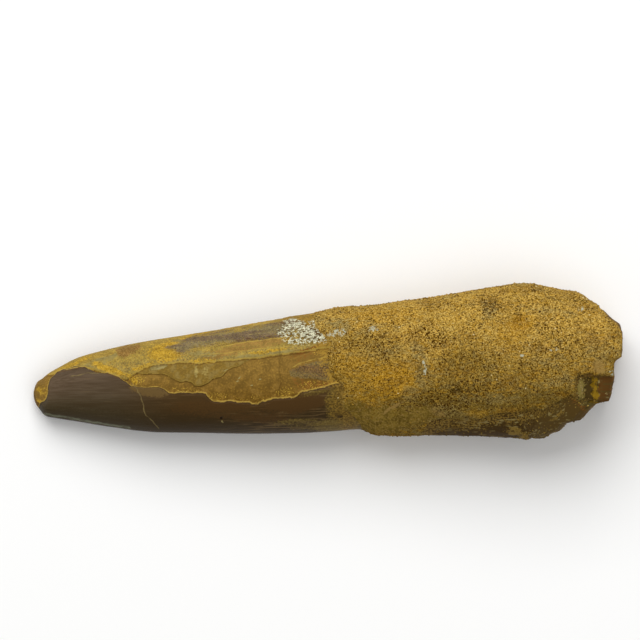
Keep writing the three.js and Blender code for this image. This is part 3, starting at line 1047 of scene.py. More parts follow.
    def enamel(self, s: Sketch, ridges: Socket, marks: RaggedMarks, streaks: RaggedMarks) -> Socket:
        """The enamel's colour: darker and browner to the lower edge, partly its own colour and partly painted
        shade, and greyer to the tip.

        Args:
            s: the material.
            ridges: the fine ridges' pattern.
            marks: masks with blotchy edges.
            streaks: masks with edges drawn out along the tooth.

        Returns:
            The colour.
        """
        grit, bands, along = marks.fine, streaks.coarse, s.add(Kind.ALONG, s.add(Kind.FLOW))
        streaky = s.add(Kind.RAMP, ridges, 0.49, 0.4, 0.0, 0.5)
        streaky = s.add(Kind.TIMES, s.add(Kind.RAMP, along, 20.0, 28.0), streaky)
        film = s.lay(
            self.film, (bands, 0.4, 0.62, 1.0, self.film_light), (grit, 0.45, 0.32, 0.6, self.gap),
            (grit, 0.55, 0.68, 0.6, self.film_sand),
        )
        sandy = s.lay(self.film_edge, (grit, 0.42, 0.6, 1.0, self.film_edge_light))
        return s.lay(
            # darker towards the lower edge and the foot: partly the enamel's own colour, partly painted shade
            self.enamel_low, ("rise", -0.95, -0.35, 1.0, self.enamel_mid),
            ("rise", -0.4, 0.4, 1.0, self.enamel_high),
            (along, 18.0, 8.0, 0.85, s.lay(self.enamel_olive, ("rise", -0.7, 0.35, 1.0, self.enamel_grey))),
            (ridges, 0.42, 0.62, 0.28, self.enamel_low), (ridges, 0.4, 0.28, 0.35, self.ridge),
            (bands, 0.45, 0.65, 0.35, self.enamel_band),
            (streaks.ragged("rise", 0.8), -0.35, -0.85, 0.55, self.enamel_foot), (streaky, self.streak),
            (streaks.cover("rusty", 1.5, 0.5), self.enamel_rust),
            (marks.cover("stain", 1.5, 0.4), self.stain),
            (streaks.cover("film", 1.5, 0.5), film),
            (s.add(Kind.TIMES, marks.cover("sandy", 2.0, 0.5), 0.85), sandy),
        )

    def lines(self, s: Sketch, marks: RaggedMarks, colour: Socket) -> Socket:
        """The bright and dark lines along chipped edges, partly their own colour and partly painted highlight
        and painted shadow at the ledges, and small specks.

        Args:
            s: the material.
            marks: masks with blotchy edges.
            colour: the colour under them.

        Returns:
            The colour with the lines on it.
        """
        along = s.add(Kind.ALONG, s.add(Kind.FLOW))
        below = s.add(Kind.RAMP, "sheet", -0.05, -0.15)
        below = s.add(Kind.TIMES, below, s.add(Kind.RAMP, along, 25.5, 23.0))
        strip_line = marks.line("strip", 0.12, 0.14, 0.8)
        strip_line = s.add(Kind.TIMES, strip_line, s.add(Kind.RAMP, marks.coarse, 0.5, 0.62))
        return s.lay(
            # a pale line inside the sheet's lower edge: partly its own colour, partly painted highlight
            colour, (marks.line("sheet", 0.04, 0.1, 0.8), self.edge),
            # painted shadow under the sheet's lower edge
            (marks.line("sheet", -0.12, 0.09, 0.45), self.sheet_shade),
            # painted shadow under the plate's lower edge, then a pale rim on its lip that is partly painted
            # highlight
            (s.add(Kind.TIMES, below, marks.line("plate", -0.06, 0.065, 0.65)), self.gap),
            (s.add(Kind.TIMES, below, marks.line("plate", 0.06, 0.06, 0.5)), self.edge),
            # painted shadow just inside the enamel's edge, then a pale line outside it that is partly painted
            # highlight
            (strip_line, self.strip_shade), (marks.line("enamel", 0.07, 0.08, 0.5), self.enamel_shade),
            (marks.line("enamel", -0.04, 0.075, 0.75), self.edge),
            (marks.line("pale_line", 0.0, 0.09, 0.7, True), self.crack),
            (marks.line("dark_line", 0.0, 0.13, 0.45, True), self.gap),
            (marks.line("bright_line", 0.0, 0.1, 0.8, True), self.edge),
            # a pale grey-green band along the lower edge near the tip
            (marks.line("carina", 0.0, 0.2, 1.0, True), self.carina),
            (marks.cover("speck", 0.0, 0.1), self.speck), (marks.cover("smudge", 2.2, 0.3), self.smudge),
        )


@dataclass(frozen=True)
class SandstoneFinish:
    """Fine sandstone cemented by iron oxide: dull ochre, blotched orange and olive, with painted shade in its
    pits and crevices and painted highlights on its grains.
    """

    # hollow: painted shade in the pits and crevices, and the small dark specks on the smooth parts
    hollow: str = "#3d2300"
    # low and high follow the tone field: darker towards the lower edge, partly the stone's own colour and
    # partly painted shade
    low: str = "#6f5820"
    high: str = "#b28e3c"
    warm: str = "#ab7f1e"
    # dark, lit_low and lit_high: painted shade between grains and painted highlights on them
    dark: str = "#523200"
    lit_low: str = "#9c8645"
    lit_high: str = "#d8bd76"
    brown: str = "#735219"
    grey: str = "#7f6f41"
    smooth: str = "#826a2a"
    smooth_dark: str = "#67531c"
    tan: str = "#957840"
    chalk: str = "#b0ad92"
    cloud_size: float = 1.9 * MM
    blotch_size: float = 0.28 * MM
    grain_size: float = 0.14 * MM
    shade_size: float = 0.11 * MM
    pit_size: float = 0.18 * MM
    grit_size: float = 0.22 * MM
    mottle_size: float = 0.8 * MM
    fleck_size: float = 0.35 * MM
    grit_height: float = 0.1 * MM
    roughness: float = 0.85

    def sand(self, s: Sketch) -> Socket:
        """The colour of the sand: clouds and blotches drawn out along the tooth, painted highlights and shade
        on single grains, and painted shade in pits.

        Args:
            s: the material.

        Returns:
            The colour.
        """
        place = s.add(Kind.PLACE)
        drawn_out = s.add(Kind.STRETCH, place, (0.45, 1.0, 1.0))
        cloud = s.add(Kind.NOISE, drawn_out, 1 / self.cloud_size, 5.0)
        blotch = s.add(Kind.NOISE, drawn_out, 1 / self.blotch_size, 3.0)
        bright = s.add(Kind.RAMP, "dim", 0.0, 1.0, 1.0, 0.15)
        grains = s.add(Kind.ALONG, s.add(Kind.CELLS, place, 1 / self.grain_size))
        colour = s.lay(
            self.low, ("tone", self.high), ("warm", self.warm), ("grey", self.grey),
            (cloud, 0.5, 0.66, 0.5, self.brown), (cloud, 0.46, 0.34, 0.5, self.grey),
            (s.add(Kind.TIMES, s.add(Kind.RAMP, blotch, 0.5, 0.66, 0.0, 0.55), bright), self.warm),
            (blotch, 0.47, 0.33, 0.5, self.grey),
        )
        # level picks lit and shaded copies of the colour: painted highlights on single grains and painted
        # shade between them
        level = s.add(Kind.NOISE, place, 1 / self.shade_size, 1.0)
        level = s.add(Kind.PLUS, level, s.add(Kind.TIMES, grains, 0.35))
        shaded = s.lay(s.add(Kind.SHADE, colour, 0.33), (0.6, self.dark))
        lit = s.lay(s.add(Kind.SHADE, colour, 1.6), (0.4, s.lay(self.lit_low, ("tone", self.lit_high))))
        dark = s.add(Kind.RAMP, level, 0.67, 0.44)
        dark = s.add(Kind.TIMES, dark, s.add(Kind.RAMP, "gritty", 0.1, 0.9, 0.62, 1.0))
        # pits: small pits with painted shade in the hollow colour
        pits = s.add(Kind.NOISE, place, 1 / self.pit_size, 1.0)
        pits = s.add(Kind.PLUS, pits, s.add(Kind.TIMES, "gritty", 0.18))
        return s.lay(
            colour, (dark, shaded), (level, 0.68, 0.9, 0.9, lit), (pits, 0.69, 0.74, 1.0, self.hollow),
        )

    def make(self) -> bpy.types.Material:
        """Builds the material.

        Returns:
            The material, drawn in the object's own millimetres.
        """
        s = Sketch("iron_cemented_sandstone")
        place = s.add(Kind.PLACE)
        grit = s.add(Kind.NOISE, place, 1 / self.grit_size, 2.0)
        mottle = s.add(Kind.NOISE, place, 1 / self.mottle_size, 3.0)
        marks = RaggedMarks(s, grit, mottle)
        flecks = RaggedMarks(s, grit, s.add(Kind.NOISE, place, 1 / self.fleck_size, 2.0))
        smooth = s.lay(
            self.smooth, (mottle, 0.42, 0.6, 1.0, self.smooth_dark), (grit, 0.46, 0.34, 0.5, self.hollow),
            (grit, 0.52, 0.66, 0.7, self.tan),
        )
        colour = s.lay(
            # the pits and crevices that the crust's mesh sinks get painted shade in the hollow colour
            self.sand(s), ("pit", 0.2, 0.8, 0.85, self.hollow), (marks.cover("smooth", 2.2, 0.35), smooth),
            (s.add(Kind.TIMES, marks.cover("tan", 2.5, 0.6), 0.7), self.tan),
            (flecks.cover("chalk", 4.5, 0.2), self.chalk),
        )
        bumps = s.add(Kind.BUMP, grit, 0.5, self.grit_height)
        return s.finish(s.add(Kind.SHADER, colour, self.roughness, bumps, 1.5, 0.03))


@dataclass(frozen=True)
class GrainFinish:
    """Quartz sand stained by iron: grains as dull as the stone round them, and a few clear or dark ones."""

    stone: SandstoneFinish = SandstoneFinish()
    clear: str = "#d6c188"
    dark: str = "#4a3212"
    bump_size: float = 0.08 * MM
    bump_height: float = 0.02 * MM

    def make(self) -> bpy.types.Material:
        """Builds the material.

        Returns:
            The material, with painted shade where a grain is sunk in the stone and a painted highlight on its
            top.
        """
        s = Sketch("iron_stained_quartz_sand")
        # painted shade low on each grain and a painted highlight on its top, by how far each point stands out
        depth = s.add(Kind.RAMP, "stand", 0.75, -0.4, 1.15, 0.55)
        shade = s.add(Kind.TIMES, depth, s.add(Kind.RAMP, "pick", 0.0, 1.0, 0.88, 1.12))
        colour = s.lay(
            s.add(Kind.SHADE, self.stone.sand(s), shade), ("pick", 0.991, 0.994, 0.9, self.clear),
            ("pick", 0.08, 0.07, 0.8, self.dark), ("chalk", self.stone.chalk),
        )
        bumps = s.add(Kind.NOISE, s.add(Kind.PLACE), 1 / self.bump_size, 1.0)
        bumps = s.add(Kind.BUMP, bumps, 0.2, self.bump_height)
        return s.finish(s.add(Kind.SHADER, colour, 0.7, bumps, 1.54, 0.06))


# ---------------------------------------------------------------- the tooth
# Each row of the spots has the values of one Spot, in the order of its fields.
BODY_SPOTS: dict[str, Rows] = {
    "dust": (
        (9.2, -1.05, 2.4, 0.36, -22), (11.7, -2.1, 1.0, 0.45, -50, 0.9), (5.2, -0.15, 2.6, 0.28, 24, 0.7),
        (15.9, 1.1, 2.3, 1.2, 10), (13.4, -0.6, 1.7, 0.3, 18, 0.8), (19.4, 2.9, 1.8, 0.5, 14, 0.8),
        (28.0, 1.15, 2.4, 0.25, 6, 0.8), (27.0, 4.75, 6.5, 0.22, 11), (35.2, 1.7, 1.5, 0.8, 12, 0.6),
        (30.2, 3.2, 0.8, 1.2, 0, 0.7), (20.3, 0.15, 1.8, 0.3, 4, 0.7), (35.5, 2.5, 1.5, 1.5, 0, 0.8),
    ),
    "flecks": (
        (29.9, -3.9, 1.2, 0.5, 10, 0.9), (18.4, -3.4, 1.8, 0.4, -8, 0.6), (22.0, -4.3, 1.3, 0.5, 0, 0.8),
        (25.8, -4.5, 2.4, 0.4, 0, 0.45), (33.4, -2.8, 2.2, 0.6, 8, 0.62), (12.6, -2.1, 0.9, 0.7, 0, 1.0),
        (27.5, -1.0, 3.5, 2.0, 0, 0.12), (20.3, 0.15, 1.8, 0.4, 4, 0.8), (34.5, 1.5, 1.5, 0.8, 10, 0.7),
    ),
    "smudge": ((36.2, -6.5, 0.5, 0.3, -12, 0.55),),
    "grey": (
        (8.2, 0.0, 2.6, 0.35, 14, 0.8), (14.9, -0.75, 1.0, 0.28, 20), (26.1, 0.6, 2.2, 0.3, 3),
        (29.0, 0.95, 1.8, 0.28, 6, 0.9), (17.2, 1.9, 1.2, 0.6, 10, 0.9), (35.0, 4.6, 1.6, 0.9, 5),
        (30.3, 4.0, 1.2, 0.8, 0, 0.7), (20.5, 0.9, 2.0, 0.3, 4, 0.6), (36.2, -1.2, 1.0, 1.8, 0, 0.9),
    ),
    "pale": (
        (31.3, 4.2, 1.7, 0.6, -10, 0.75), (33.2, 3.1, 1.7, 0.85, -15, 0.95), (32.0, 2.35, 2.2, 0.4, 0, 0.55),
        (36.1, 3.4, 1.0, 0.4, 0, 0.8), (30.3, 3.4, 1.2, 1.0, 0, 0.42), (34.2, 4.2, 1.4, 0.6, -15, 0.4),
    ),
    "rust": (
        (33.3, -2.5, 2.6, 0.9, 5, 0.6), (32.7, 0.6, 2.4, 0.35, 12, 0.35), (33.2, 1.5, 2.8, 0.25, 17, 0.9),
    ),
    "stain": ((13.9, -3.5, 2.4, 0.7, -8),),
    "tan": ((25.5, 1.75, 3.6, 0.45, 6), (22.0, 0.9, 2.6, 0.5, 4, 0.7), (28.5, 2.2, 1.6, 0.5, 8, 0.8)),
    "film": (
        (36.4, -5.2, 1.7, 2.8, 0, 0.9), (36.0, -7.7, 3.4, 0.9, 0, 0.8), (34.0, -3.6, 2.2, 0.4, 12, 0.55),
        (32.0, -7.4, 3.5, 0.7, 0, 0.45),
    ),
    "rusty": ((31.5, -5.0, 4.0, 1.2, 6), (22.0, -5.6, 5.5, 1.1, -2, 0.6), (27.0, -6.5, 4.0, 0.8, 0, 0.6)),
    # pale ticks; the last row is a painted glint on the glossy face of the broken end
    "tick": (
        (24.55, -2.05, 0.28, 0.07, 15), (25.3, -1.93, 0.2, 0.07, -5), (24.3, -2.4, 0.12, 0.1),
        (26.0, -2.8, 0.16, 0.1, 30), (22.9, -1.1, 0.3, 0.08, 30), (15.2, -0.8, 0.7, 0.12, 18, 0.8),
        (27.0, -2.2, 0.1, 0.1), (22.45, -7.02, 0.15, 0.2, 0, 0.62), (67.6, -3.95, 0.28, 0.08, 5, 0.9),
    ),
    "clear": ((19.45, -1.3, 0.22, 0.9, 0), (20.5, -1.3, 0.4, 0.8, 0, 0.5)),
    "speck": ((22.35, -6.72, 0.16, 0.12),),
    # lit: painted light on edges of the broken end
    "lit": ((68.5, -2.9, 0.22, 1.4, -4, 0.9), (64.6, -5.3, 1.3, 0.12, -38, 0.8)),
    "smear": ((57.3, -8.3, 1.4, 0.45, -12), (58.2, -8.9, 0.7, 0.4, -30), (62.0, -6.5, 1.0, 0.3, 35, 0.4)),
    "chocolate": ((64.2, -5.9, 2.0, 0.9, -35), (60.5, -7.3, 2.5, 0.9, 10, 0.6)),
}
CRUST_SPOTS: dict[str, Rows] = {
    "smooth": ((41.5, -7.0, 4.0, 1.7, 0), (45.5, -6.6, 2.0, 1.2, 10, 0.9), (38.0, -6.0, 1.8, 1.6, 0, 0.8)),
    "tan": (
        (66.9, -0.7, 1.1, 0.9, 0), (68.2, -1.3, 0.6, 0.3, 0, 0.6), (42.8, -5.4, 1.3, 0.13, 33),
        (47.9, -6.3, 0.9, 0.5, -30, 0.5),
    ),
    "warm": (
        (42.3, -2.3, 3.6, 2.2, 0, 0.85), (38.0, -1.5, 3.0, 3.0, 0, 0.5), (57.6, 4.3, 1.8, 1.0, 20, 0.9),
        (41.0, 5.2, 4.5, 1.2, 8, 0.5), (56.5, 3.0, 1.5, 1.2, 0, 0.5), (39.5, -4.2, 3.0, 1.4, 0, 0.5),
        (52.5, -6.3, 1.8, 0.5, 0, 0.4), (55.8, -6.0, 1.5, 0.5, 8, 0.4),
    ),
    "grey": (
        (45.6, 0.9, 0.9, 1.6, 10, 0.7), (46.2, -1.8, 0.8, 1.6, -10, 0.6), (44.8, -3.8, 1.3, 0.9, 20, 0.6),
        (54.0, 6.3, 1.1, 1.1, 0, 0.7), (36.3, 4.4, 1.8, 0.8, 0, 0.7), (48.5, -6.0, 2.0, 0.8, 0, 0.5),
        (60.5, 5.9, 1.5, 0.6, 0, 0.4), (66.5, 1.0, 1.5, 1.5, 0, 0.4), (41.0, 1.2, 2.2, 1.0, 0, 0.3),
    ),
    "dim": (
        (52.0, -5.8, 6.5, 1.6, 3, 0.8), (46.0, -5.2, 3.0, 1.6, 0, 0.6), (61.0, -4.2, 3.0, 0.8, 6, 0.6),
        (51.5, -0.2, 3.5, 1.6, 0, 0.35), (38.0, 2.0, 2.5, 1.5, 0, 0.3), (57.0, -4.9, 3.0, 1.0, 0, 0.6),
    ),
    "pitted": (
        (51.3, -0.2, 4.0, 1.6, 0), (46.5, 2.8, 2.6, 1.4), (48.5, -4.6, 3.2, 1.6), (54.0, 6.3, 1.3, 1.3),
        (41.0, 1.2, 2.5, 1.2), (63.8, 1.8, 2.2, 1.2, 0, 0.6), (60.5, 3.4, 1.8, 0.7, 20, 0.8),
        (53.0, -3.0, 3.0, 1.0), (39.0, 2.5, 2.5, 1.2, 0, 0.7),
    ),
    "dimple": ((*STAR_HOLLOW, 0.9, 0.7, 20), (50.1, -3.7, 0.5, 0.35)),
    "chalk": (
        (57.5, 0.6, 0.24, 0.13, 0, 0.8), (61.9, 1.35, 0.12, 0.2, 30), (61.0, 1.25, 0.12, 0.12),
        (46.1, -0.1, 0.12, 0.5, 25), (46.6, -1.3, 0.14, 0.5, 15), (36.1, 3.4, 1.2, 0.5, 5, 0.45),
        (40.4, 3.8, 0.6, 0.32, 0, 0.45), (64.6, 6.0, 0.4, 0.2, 0, 0.5), (68.3, -1.3, 0.45, 0.3, 0, 0.4),
    ),
}
SHEETS = {"sheet": UPPER_SHEET, "plate": LOWER_SHEET, "strip": STRIP, "patch": PATCH, "brown": BROWN_PATCH}
LINES = {"pale_line": PALE_LINES, "bright_line": BRIGHT_LINES, "dark_line": DARK_LINES, "carina": LOWER_EDGE_BAND}
LAYER_DEPTHS = {"plate": 0.24, "sheet": 0.1, "strip": 0.03, "patch": 0.33, "enamel": 0.0}
SUNKEN = {"olive": 0.5, "yellow": 0.35, "gloss": 0.15, "granular": 0.25}


def wandered(side: Array, reach: float, size: float, octaves: int, seed: int) -> tuple[Array, ...]:
    """Places shifted by noise, so that the outlines read there are ragged.

    Args:
        side: rows of along, across and up.
        reach: how far the places are shifted.
        size: the size of the noise's lumps.
        octaves: its octaves.
        seed: its seed, and the next one for across.

    Returns:
        The shifted along and across.
    """
    return tuple(side[:, n] + reach * Noise.rough(side, size, octaves, seed + n) for n in (0, 1))


def depth_by_face(up: Array, above: Points, below: Points, place: tuple[Array, ...]) -> Array:
    """How far inside an outline places are, with one outline for the broad side and another for the back."""
    return np.where(up, Outline(above).depth(*place), Outline(below).depth(*place))


@dataclass
class ToothBody:
    """The crown, its chipped layers, the root and the broken face, as one closed mesh."""

    placer: ToothPlacer
    form: ToothForm = ToothForm(with_crust=False)
    cap_sizes: tuple[float, ...] = (0.86, 0.68, 0.5, 0.3)
    ledge: float = 0.07
    crowding: float = 0.32
    worn_depth: float = 0.03

    @staticmethod
    def ring_stations() -> list[float]:
        """Where the rings stand: close together on the crown and at the break, far apart under the crust.

        Returns:
            Distances from the tip.
        """
        crown = np.linspace(4.1, 37.5, 31)
        root = np.linspace(41.5, BREAK_STARTS, 5)
        broken = np.linspace(BREAK_STARTS, LENGTH, 12)[1:]
        return [0.06, 0.35, 0.9, 1.6, 2.4, 3.2, *crown, *root, *broken]

    def build(self) -> bpy.types.Object:
        """Models the body and dresses it.

        Returns:
            The finished object.
        """
        cage = RingCage("tooth_body", TOOTH_SEGMENTS, self.ring_stations(), self.cap_sizes, self.form)
        body, skin = cage.build()
        skin.angle = skin.angle - self.crowding * np.sin(skin.angle)
        side = self.form.surface(skin, 0.0)
        fields = self.fields(skin, side)
        before = self.form.surface(skin, -self.wear(skin, side, fields))
        place = self.form.wear_tip(before)
        worn = smoothstep(np.linalg.norm(before - place, axis=1), 0.0, self.worn_depth)
        fields["worn"] = worn * (skin.along < 4) * smoothstep(fields["enamel"], 0.05, -0.05)
        fields["flow"] = unrolled(skin.along, side[:, 1], skin.angle)
        return self.placer.dress(body, place, fields, ToothFinish().make())

    def fields(self, skin: Skin, side: Array) -> dict[str, Array]:
        """The outlines and stains at each point of the mesh.

        Args:
            skin: where the points lie on the tooth.
            side: their places on the unworn surface.

        Returns:
            Numbers by the name that the material reads them under.
        """
        ragged, wander = wandered(side, 0.13, 0.9, 3, 1), wandered(side, 0.4, 1.1, 4, 3)
        up = np.cos(skin.angle) > -0.18 + 0.16 * Noise.rough(side, 1.7, 3, 12)
        near = {n: np.where(up, np.clip(Outline(p).depth(*ragged), -3, 3), -3) for n, p in SHEETS.items()}
        enamel = depth_by_face(up, ENAMEL, ENAMEL_BELOW, ragged)
        cover = depth_by_face(up, CRUST, CRUST_BELOW, ragged)
        near |= {"enamel": np.clip(enamel, -3, 3), "cover": np.clip(cover, -6, 3)}
        near |= {name: np.where(up, spots_at(rows, *wander), 0) for name, rows in BODY_SPOTS.items()}
        outer = smoothstep(skin.share, 0.8, 0.97)
        for name, points in BREAK_MARKS.items():
            inside = smoothstep(Outline(points).depth(side[:, 0], side[:, 1]), -0.15, 0.15)
            near[name] = np.where(up, inside, 0) * outer
        near["lit"] *= outer
        sandy_from = np.where(skin.along > 42, -1.2, np.where(enamel < 0, -1.4, -1.7))
        near["sandy"] = smoothstep(cover, sandy_from, 0.45)
        near["sandy"] *= np.maximum(smoothstep(skin.along, 40, 37), smoothstep(skin.along, 42, 44))
        rim = smoothstep(cover, -0.2, 0.2) * smoothstep(skin.along, 66, 69)
        near["rim"] = np.maximum(rim, skin.cap * smoothstep(skin.share, 0.95, 0.75))
        for name, lines in LINES.items():
            plain, signed = LineWork(lines).distances(*ragged)
            near[name] = np.where(up, np.clip(signed, -3, 3), 3)
            near[name + "_near"] = np.where(up, np.minimum(plain, 3), 3)
        near["rise"] = np.sin(skin.angle)
        near["root"] = smoothstep(skin.along, 42, 45)
        near["pulp"] = smoothstep(skin.share, 0.56, 0.44) * skin.cap
        return near

    def wear(self, skin: Skin, side: Array, fields: dict[str, Array]) -> Array:
        """How deep the surface is worn under the unworn enamel, layer by layer.

        Args:
            skin: where the points lie on the tooth.
            side: their places on the unworn surface.
            fields: the outlines at each point.

        Returns:
            Depths in millimetres.
        """
        rise = np.sin(skin.angle)
        depth = np.full(len(side), DENTINE_DEPTH)
        for name, level in LAYER_DEPTHS.items():
            depth = mix(depth, level, smoothstep(fields[name], -self.ledge, self.ledge))
        depth = depth * (1 - smoothstep(rise, 0.75, 0.97)) * smoothstep(skin.along, 0.5, 5)
        depth = depth * (1 - smoothstep(skin.along, 38, 42))
        chalk = fields["pale"] * (0.4 + 0.8 * Noise.rough(side, 0.45, 3, 21))
        grit = fields["dust"] * 0.07 * Noise.rough(side, 0.4, 2, 22)
        waves = 0.02 * Noise.rough(unrolled(skin.along * 0.15, side[:, 1], skin.angle), 0.9, 2, 23)
        groove = 0.05 * smoothstep(fields["dark_line_near"], 0.2, 0.0) + 0.2 * fields["speck"]
        sunken = sum(deep * fields[name] for name, deep in SUNKEN.items())
        knobs = 0.24 * smoothstep(rise, -0.8, -0.95) * smoothstep(skin.along, 46, 50)
        knobs = knobs * np.maximum(Noise.rough(side, 1.3, 3, 24), 0) * (1 - skin.cap) + 0.16 * fields["smear"]
        return depth - 0.2 * chalk - grit - waves + groove + sunken - knobs


@dataclass
class Crust:
    """The sandstone skin on the root, as one closed mesh that dips into the tooth round its edge."""

    placer: ToothPlacer
    form: ToothForm = ToothForm(with_crust=True)
    cap_sizes: tuple[float, ...] = (0.96, 0.91, 0.86, 0.78)
    sunk: float = 1.5
    cap_sunk: float = 3.0

    def build(self) -> bpy.types.Object:
        """Models the crust and dresses it.

        Returns:
            The finished object.
        """
        stations = [28.2, *np.linspace(29.2, LENGTH, 35)]
        crust, skin = RingCage("sandstone_crust", CRUST_SEGMENTS, stations, self.cap_sizes, self.form).build()
        side = self.form.surface(skin, 0.0)
        fields = self.fields(skin, side)
        place = self.form.surface(skin, self.lift(skin, side, fields))
        place[:, 0] -= self.cap_sunk * skin.cap * smoothstep(skin.share, 0.9, 0.8)
        return self.placer.dress(crust, place, fields, SandstoneFinish().make())

    def fields(self, skin: Skin, side: Array) -> dict[str, Array]:
        """The crust's outline and its tones at each point of the mesh.

        Args:
            skin: where the points lie on the tooth.
            side: their places on the level surface.

        Returns:
            Numbers by the name that the material reads them under.
        """
        ragged = wandered(side, 0.45, 1.6, 4, 51)
        up = np.cos(skin.angle) >= 0
        cover = depth_by_face(up, CRUST, CRUST_BELOW, ragged)
        near = {name: np.where(up, spots_at(rows, *ragged), 0) for name, rows in CRUST_SPOTS.items()}
        near["cover"] = np.clip(cover, -3, 6)
        cracked = smoothstep(LineWork(CREVICES).distances(*ragged)[0], 0.3, 0.0)
        near["crevice"] = np.where(up, cracked * smoothstep(Noise.rough(side, 0.7, 2, 45), -0.5, 0.3), 0)
        near["lobe"] = np.where(up, smoothstep(Outline(LOBE).depth(*ragged), -0.1, 0.5), 0)
        # tone: lighter towards the upper edge, partly the stone's own colour and partly painted light from
        # above; darker in the dim spots
        tone = smoothstep(side[:, 1], -6.5, 6.5) + 0.3 * Noise.rough(side, 3.2, 3, 61) - 0.7 * near["dim"]
        near["tone"] = np.clip(np.where(up, tone, tone + 0.15), 0, 1)
        front = smoothstep(cover, 1.8, 0.0) * smoothstep(skin.along, 42, 38)
        near["grey"] = np.maximum(near["grey"], front * mix(0.15, 0.6, smoothstep(side[:, 1], 0, 3)))
        gritty = 0.48 + 0.3 * Noise.rough(side, 2.4, 3, 46) + 0.26 * near["pitted"] - 0.2 * near["warm"]
        near["gritty"] = np.clip(np.where(up, gritty, 0.5), 0, 1)
        # pit: where the crust is sunk in small holes; its material paints shade there
        holes = smoothstep(Noise.rough(side, 0.36, 2, 44), 0.25, 0.6)
        holes = holes * (0.1 + near["gritty"]) * (1 - near["smooth"])
        near["pit"] = np.clip(holes + 0.5 * near["crevice"], 0, 1)
        return near

    def lift(self, skin: Skin, side: Array, fields: dict[str, Array]) -> Array:
        """How far the crust stands off its level surface: lumps, pits, and its edge sunk in the tooth.

        Args:
            skin: where the points lie on the tooth.
            side: their places on the level surface.
            fields: the outline and the tones at each point.

        Returns:
            Distances in millimetres.
        """
        feather = mix(1.3, 0.35, smoothstep(skin.along, 36, 42))
        feather = mix(feather, 1.0, smoothstep(skin.along, 45, 48) * smoothstep(skin.along, 62.5, 60))
        hidden = 1 - smoothstep(fields["cover"], -feather, feather)
        thin = 0.3 * (1 - smoothstep(fields["cover"], 0, 4.0)) * (1 - smoothstep(skin.along, 42, 50))
        lumps = 0.14 * Noise.rough(side, 2.6, 3, 41) + 0.1 * Noise.rough(side, 0.8, 2, 42)
        lumps = lumps * (1 - 0.7 * fields["smooth"]) + 0.14 * fields["lobe"]
        hollows = 0.16 * fields["pit"] + 0.12 * fields["crevice"] + 0.45 * fields["dimple"]
        x, y = side[:, 0] - STAR_HOLLOW[0], side[:, 1] - STAR_HOLLOW[1]
        rays = np.cos(5 * np.arctan2(y, x) + 1.5 * Noise.rough(side, 0.9, 2, 47)) * (np.cos(skin.angle) > 0)
        hollows = hollows + 0.13 * rays * smoothstep(np.hypot(x, y), 2.2, 0.5)
        return lumps - hollows - 0.4 * thin - 0.05 - self.sunk * hidden


# ---------------------------------------------------------------- the sand
class Draw(IntEnum):
    """The draws of random numbers for a grain. Where one takes several numbers, the next draws follow it."""

    AIM = 0
    KEPT = 3
    ORDER = 4
    CHALKY = 5
    KIND = 6
    SIZE = 7
    STRETCH = 8
    TURN = 11
    HEIGHT = 15
    PICK = 16


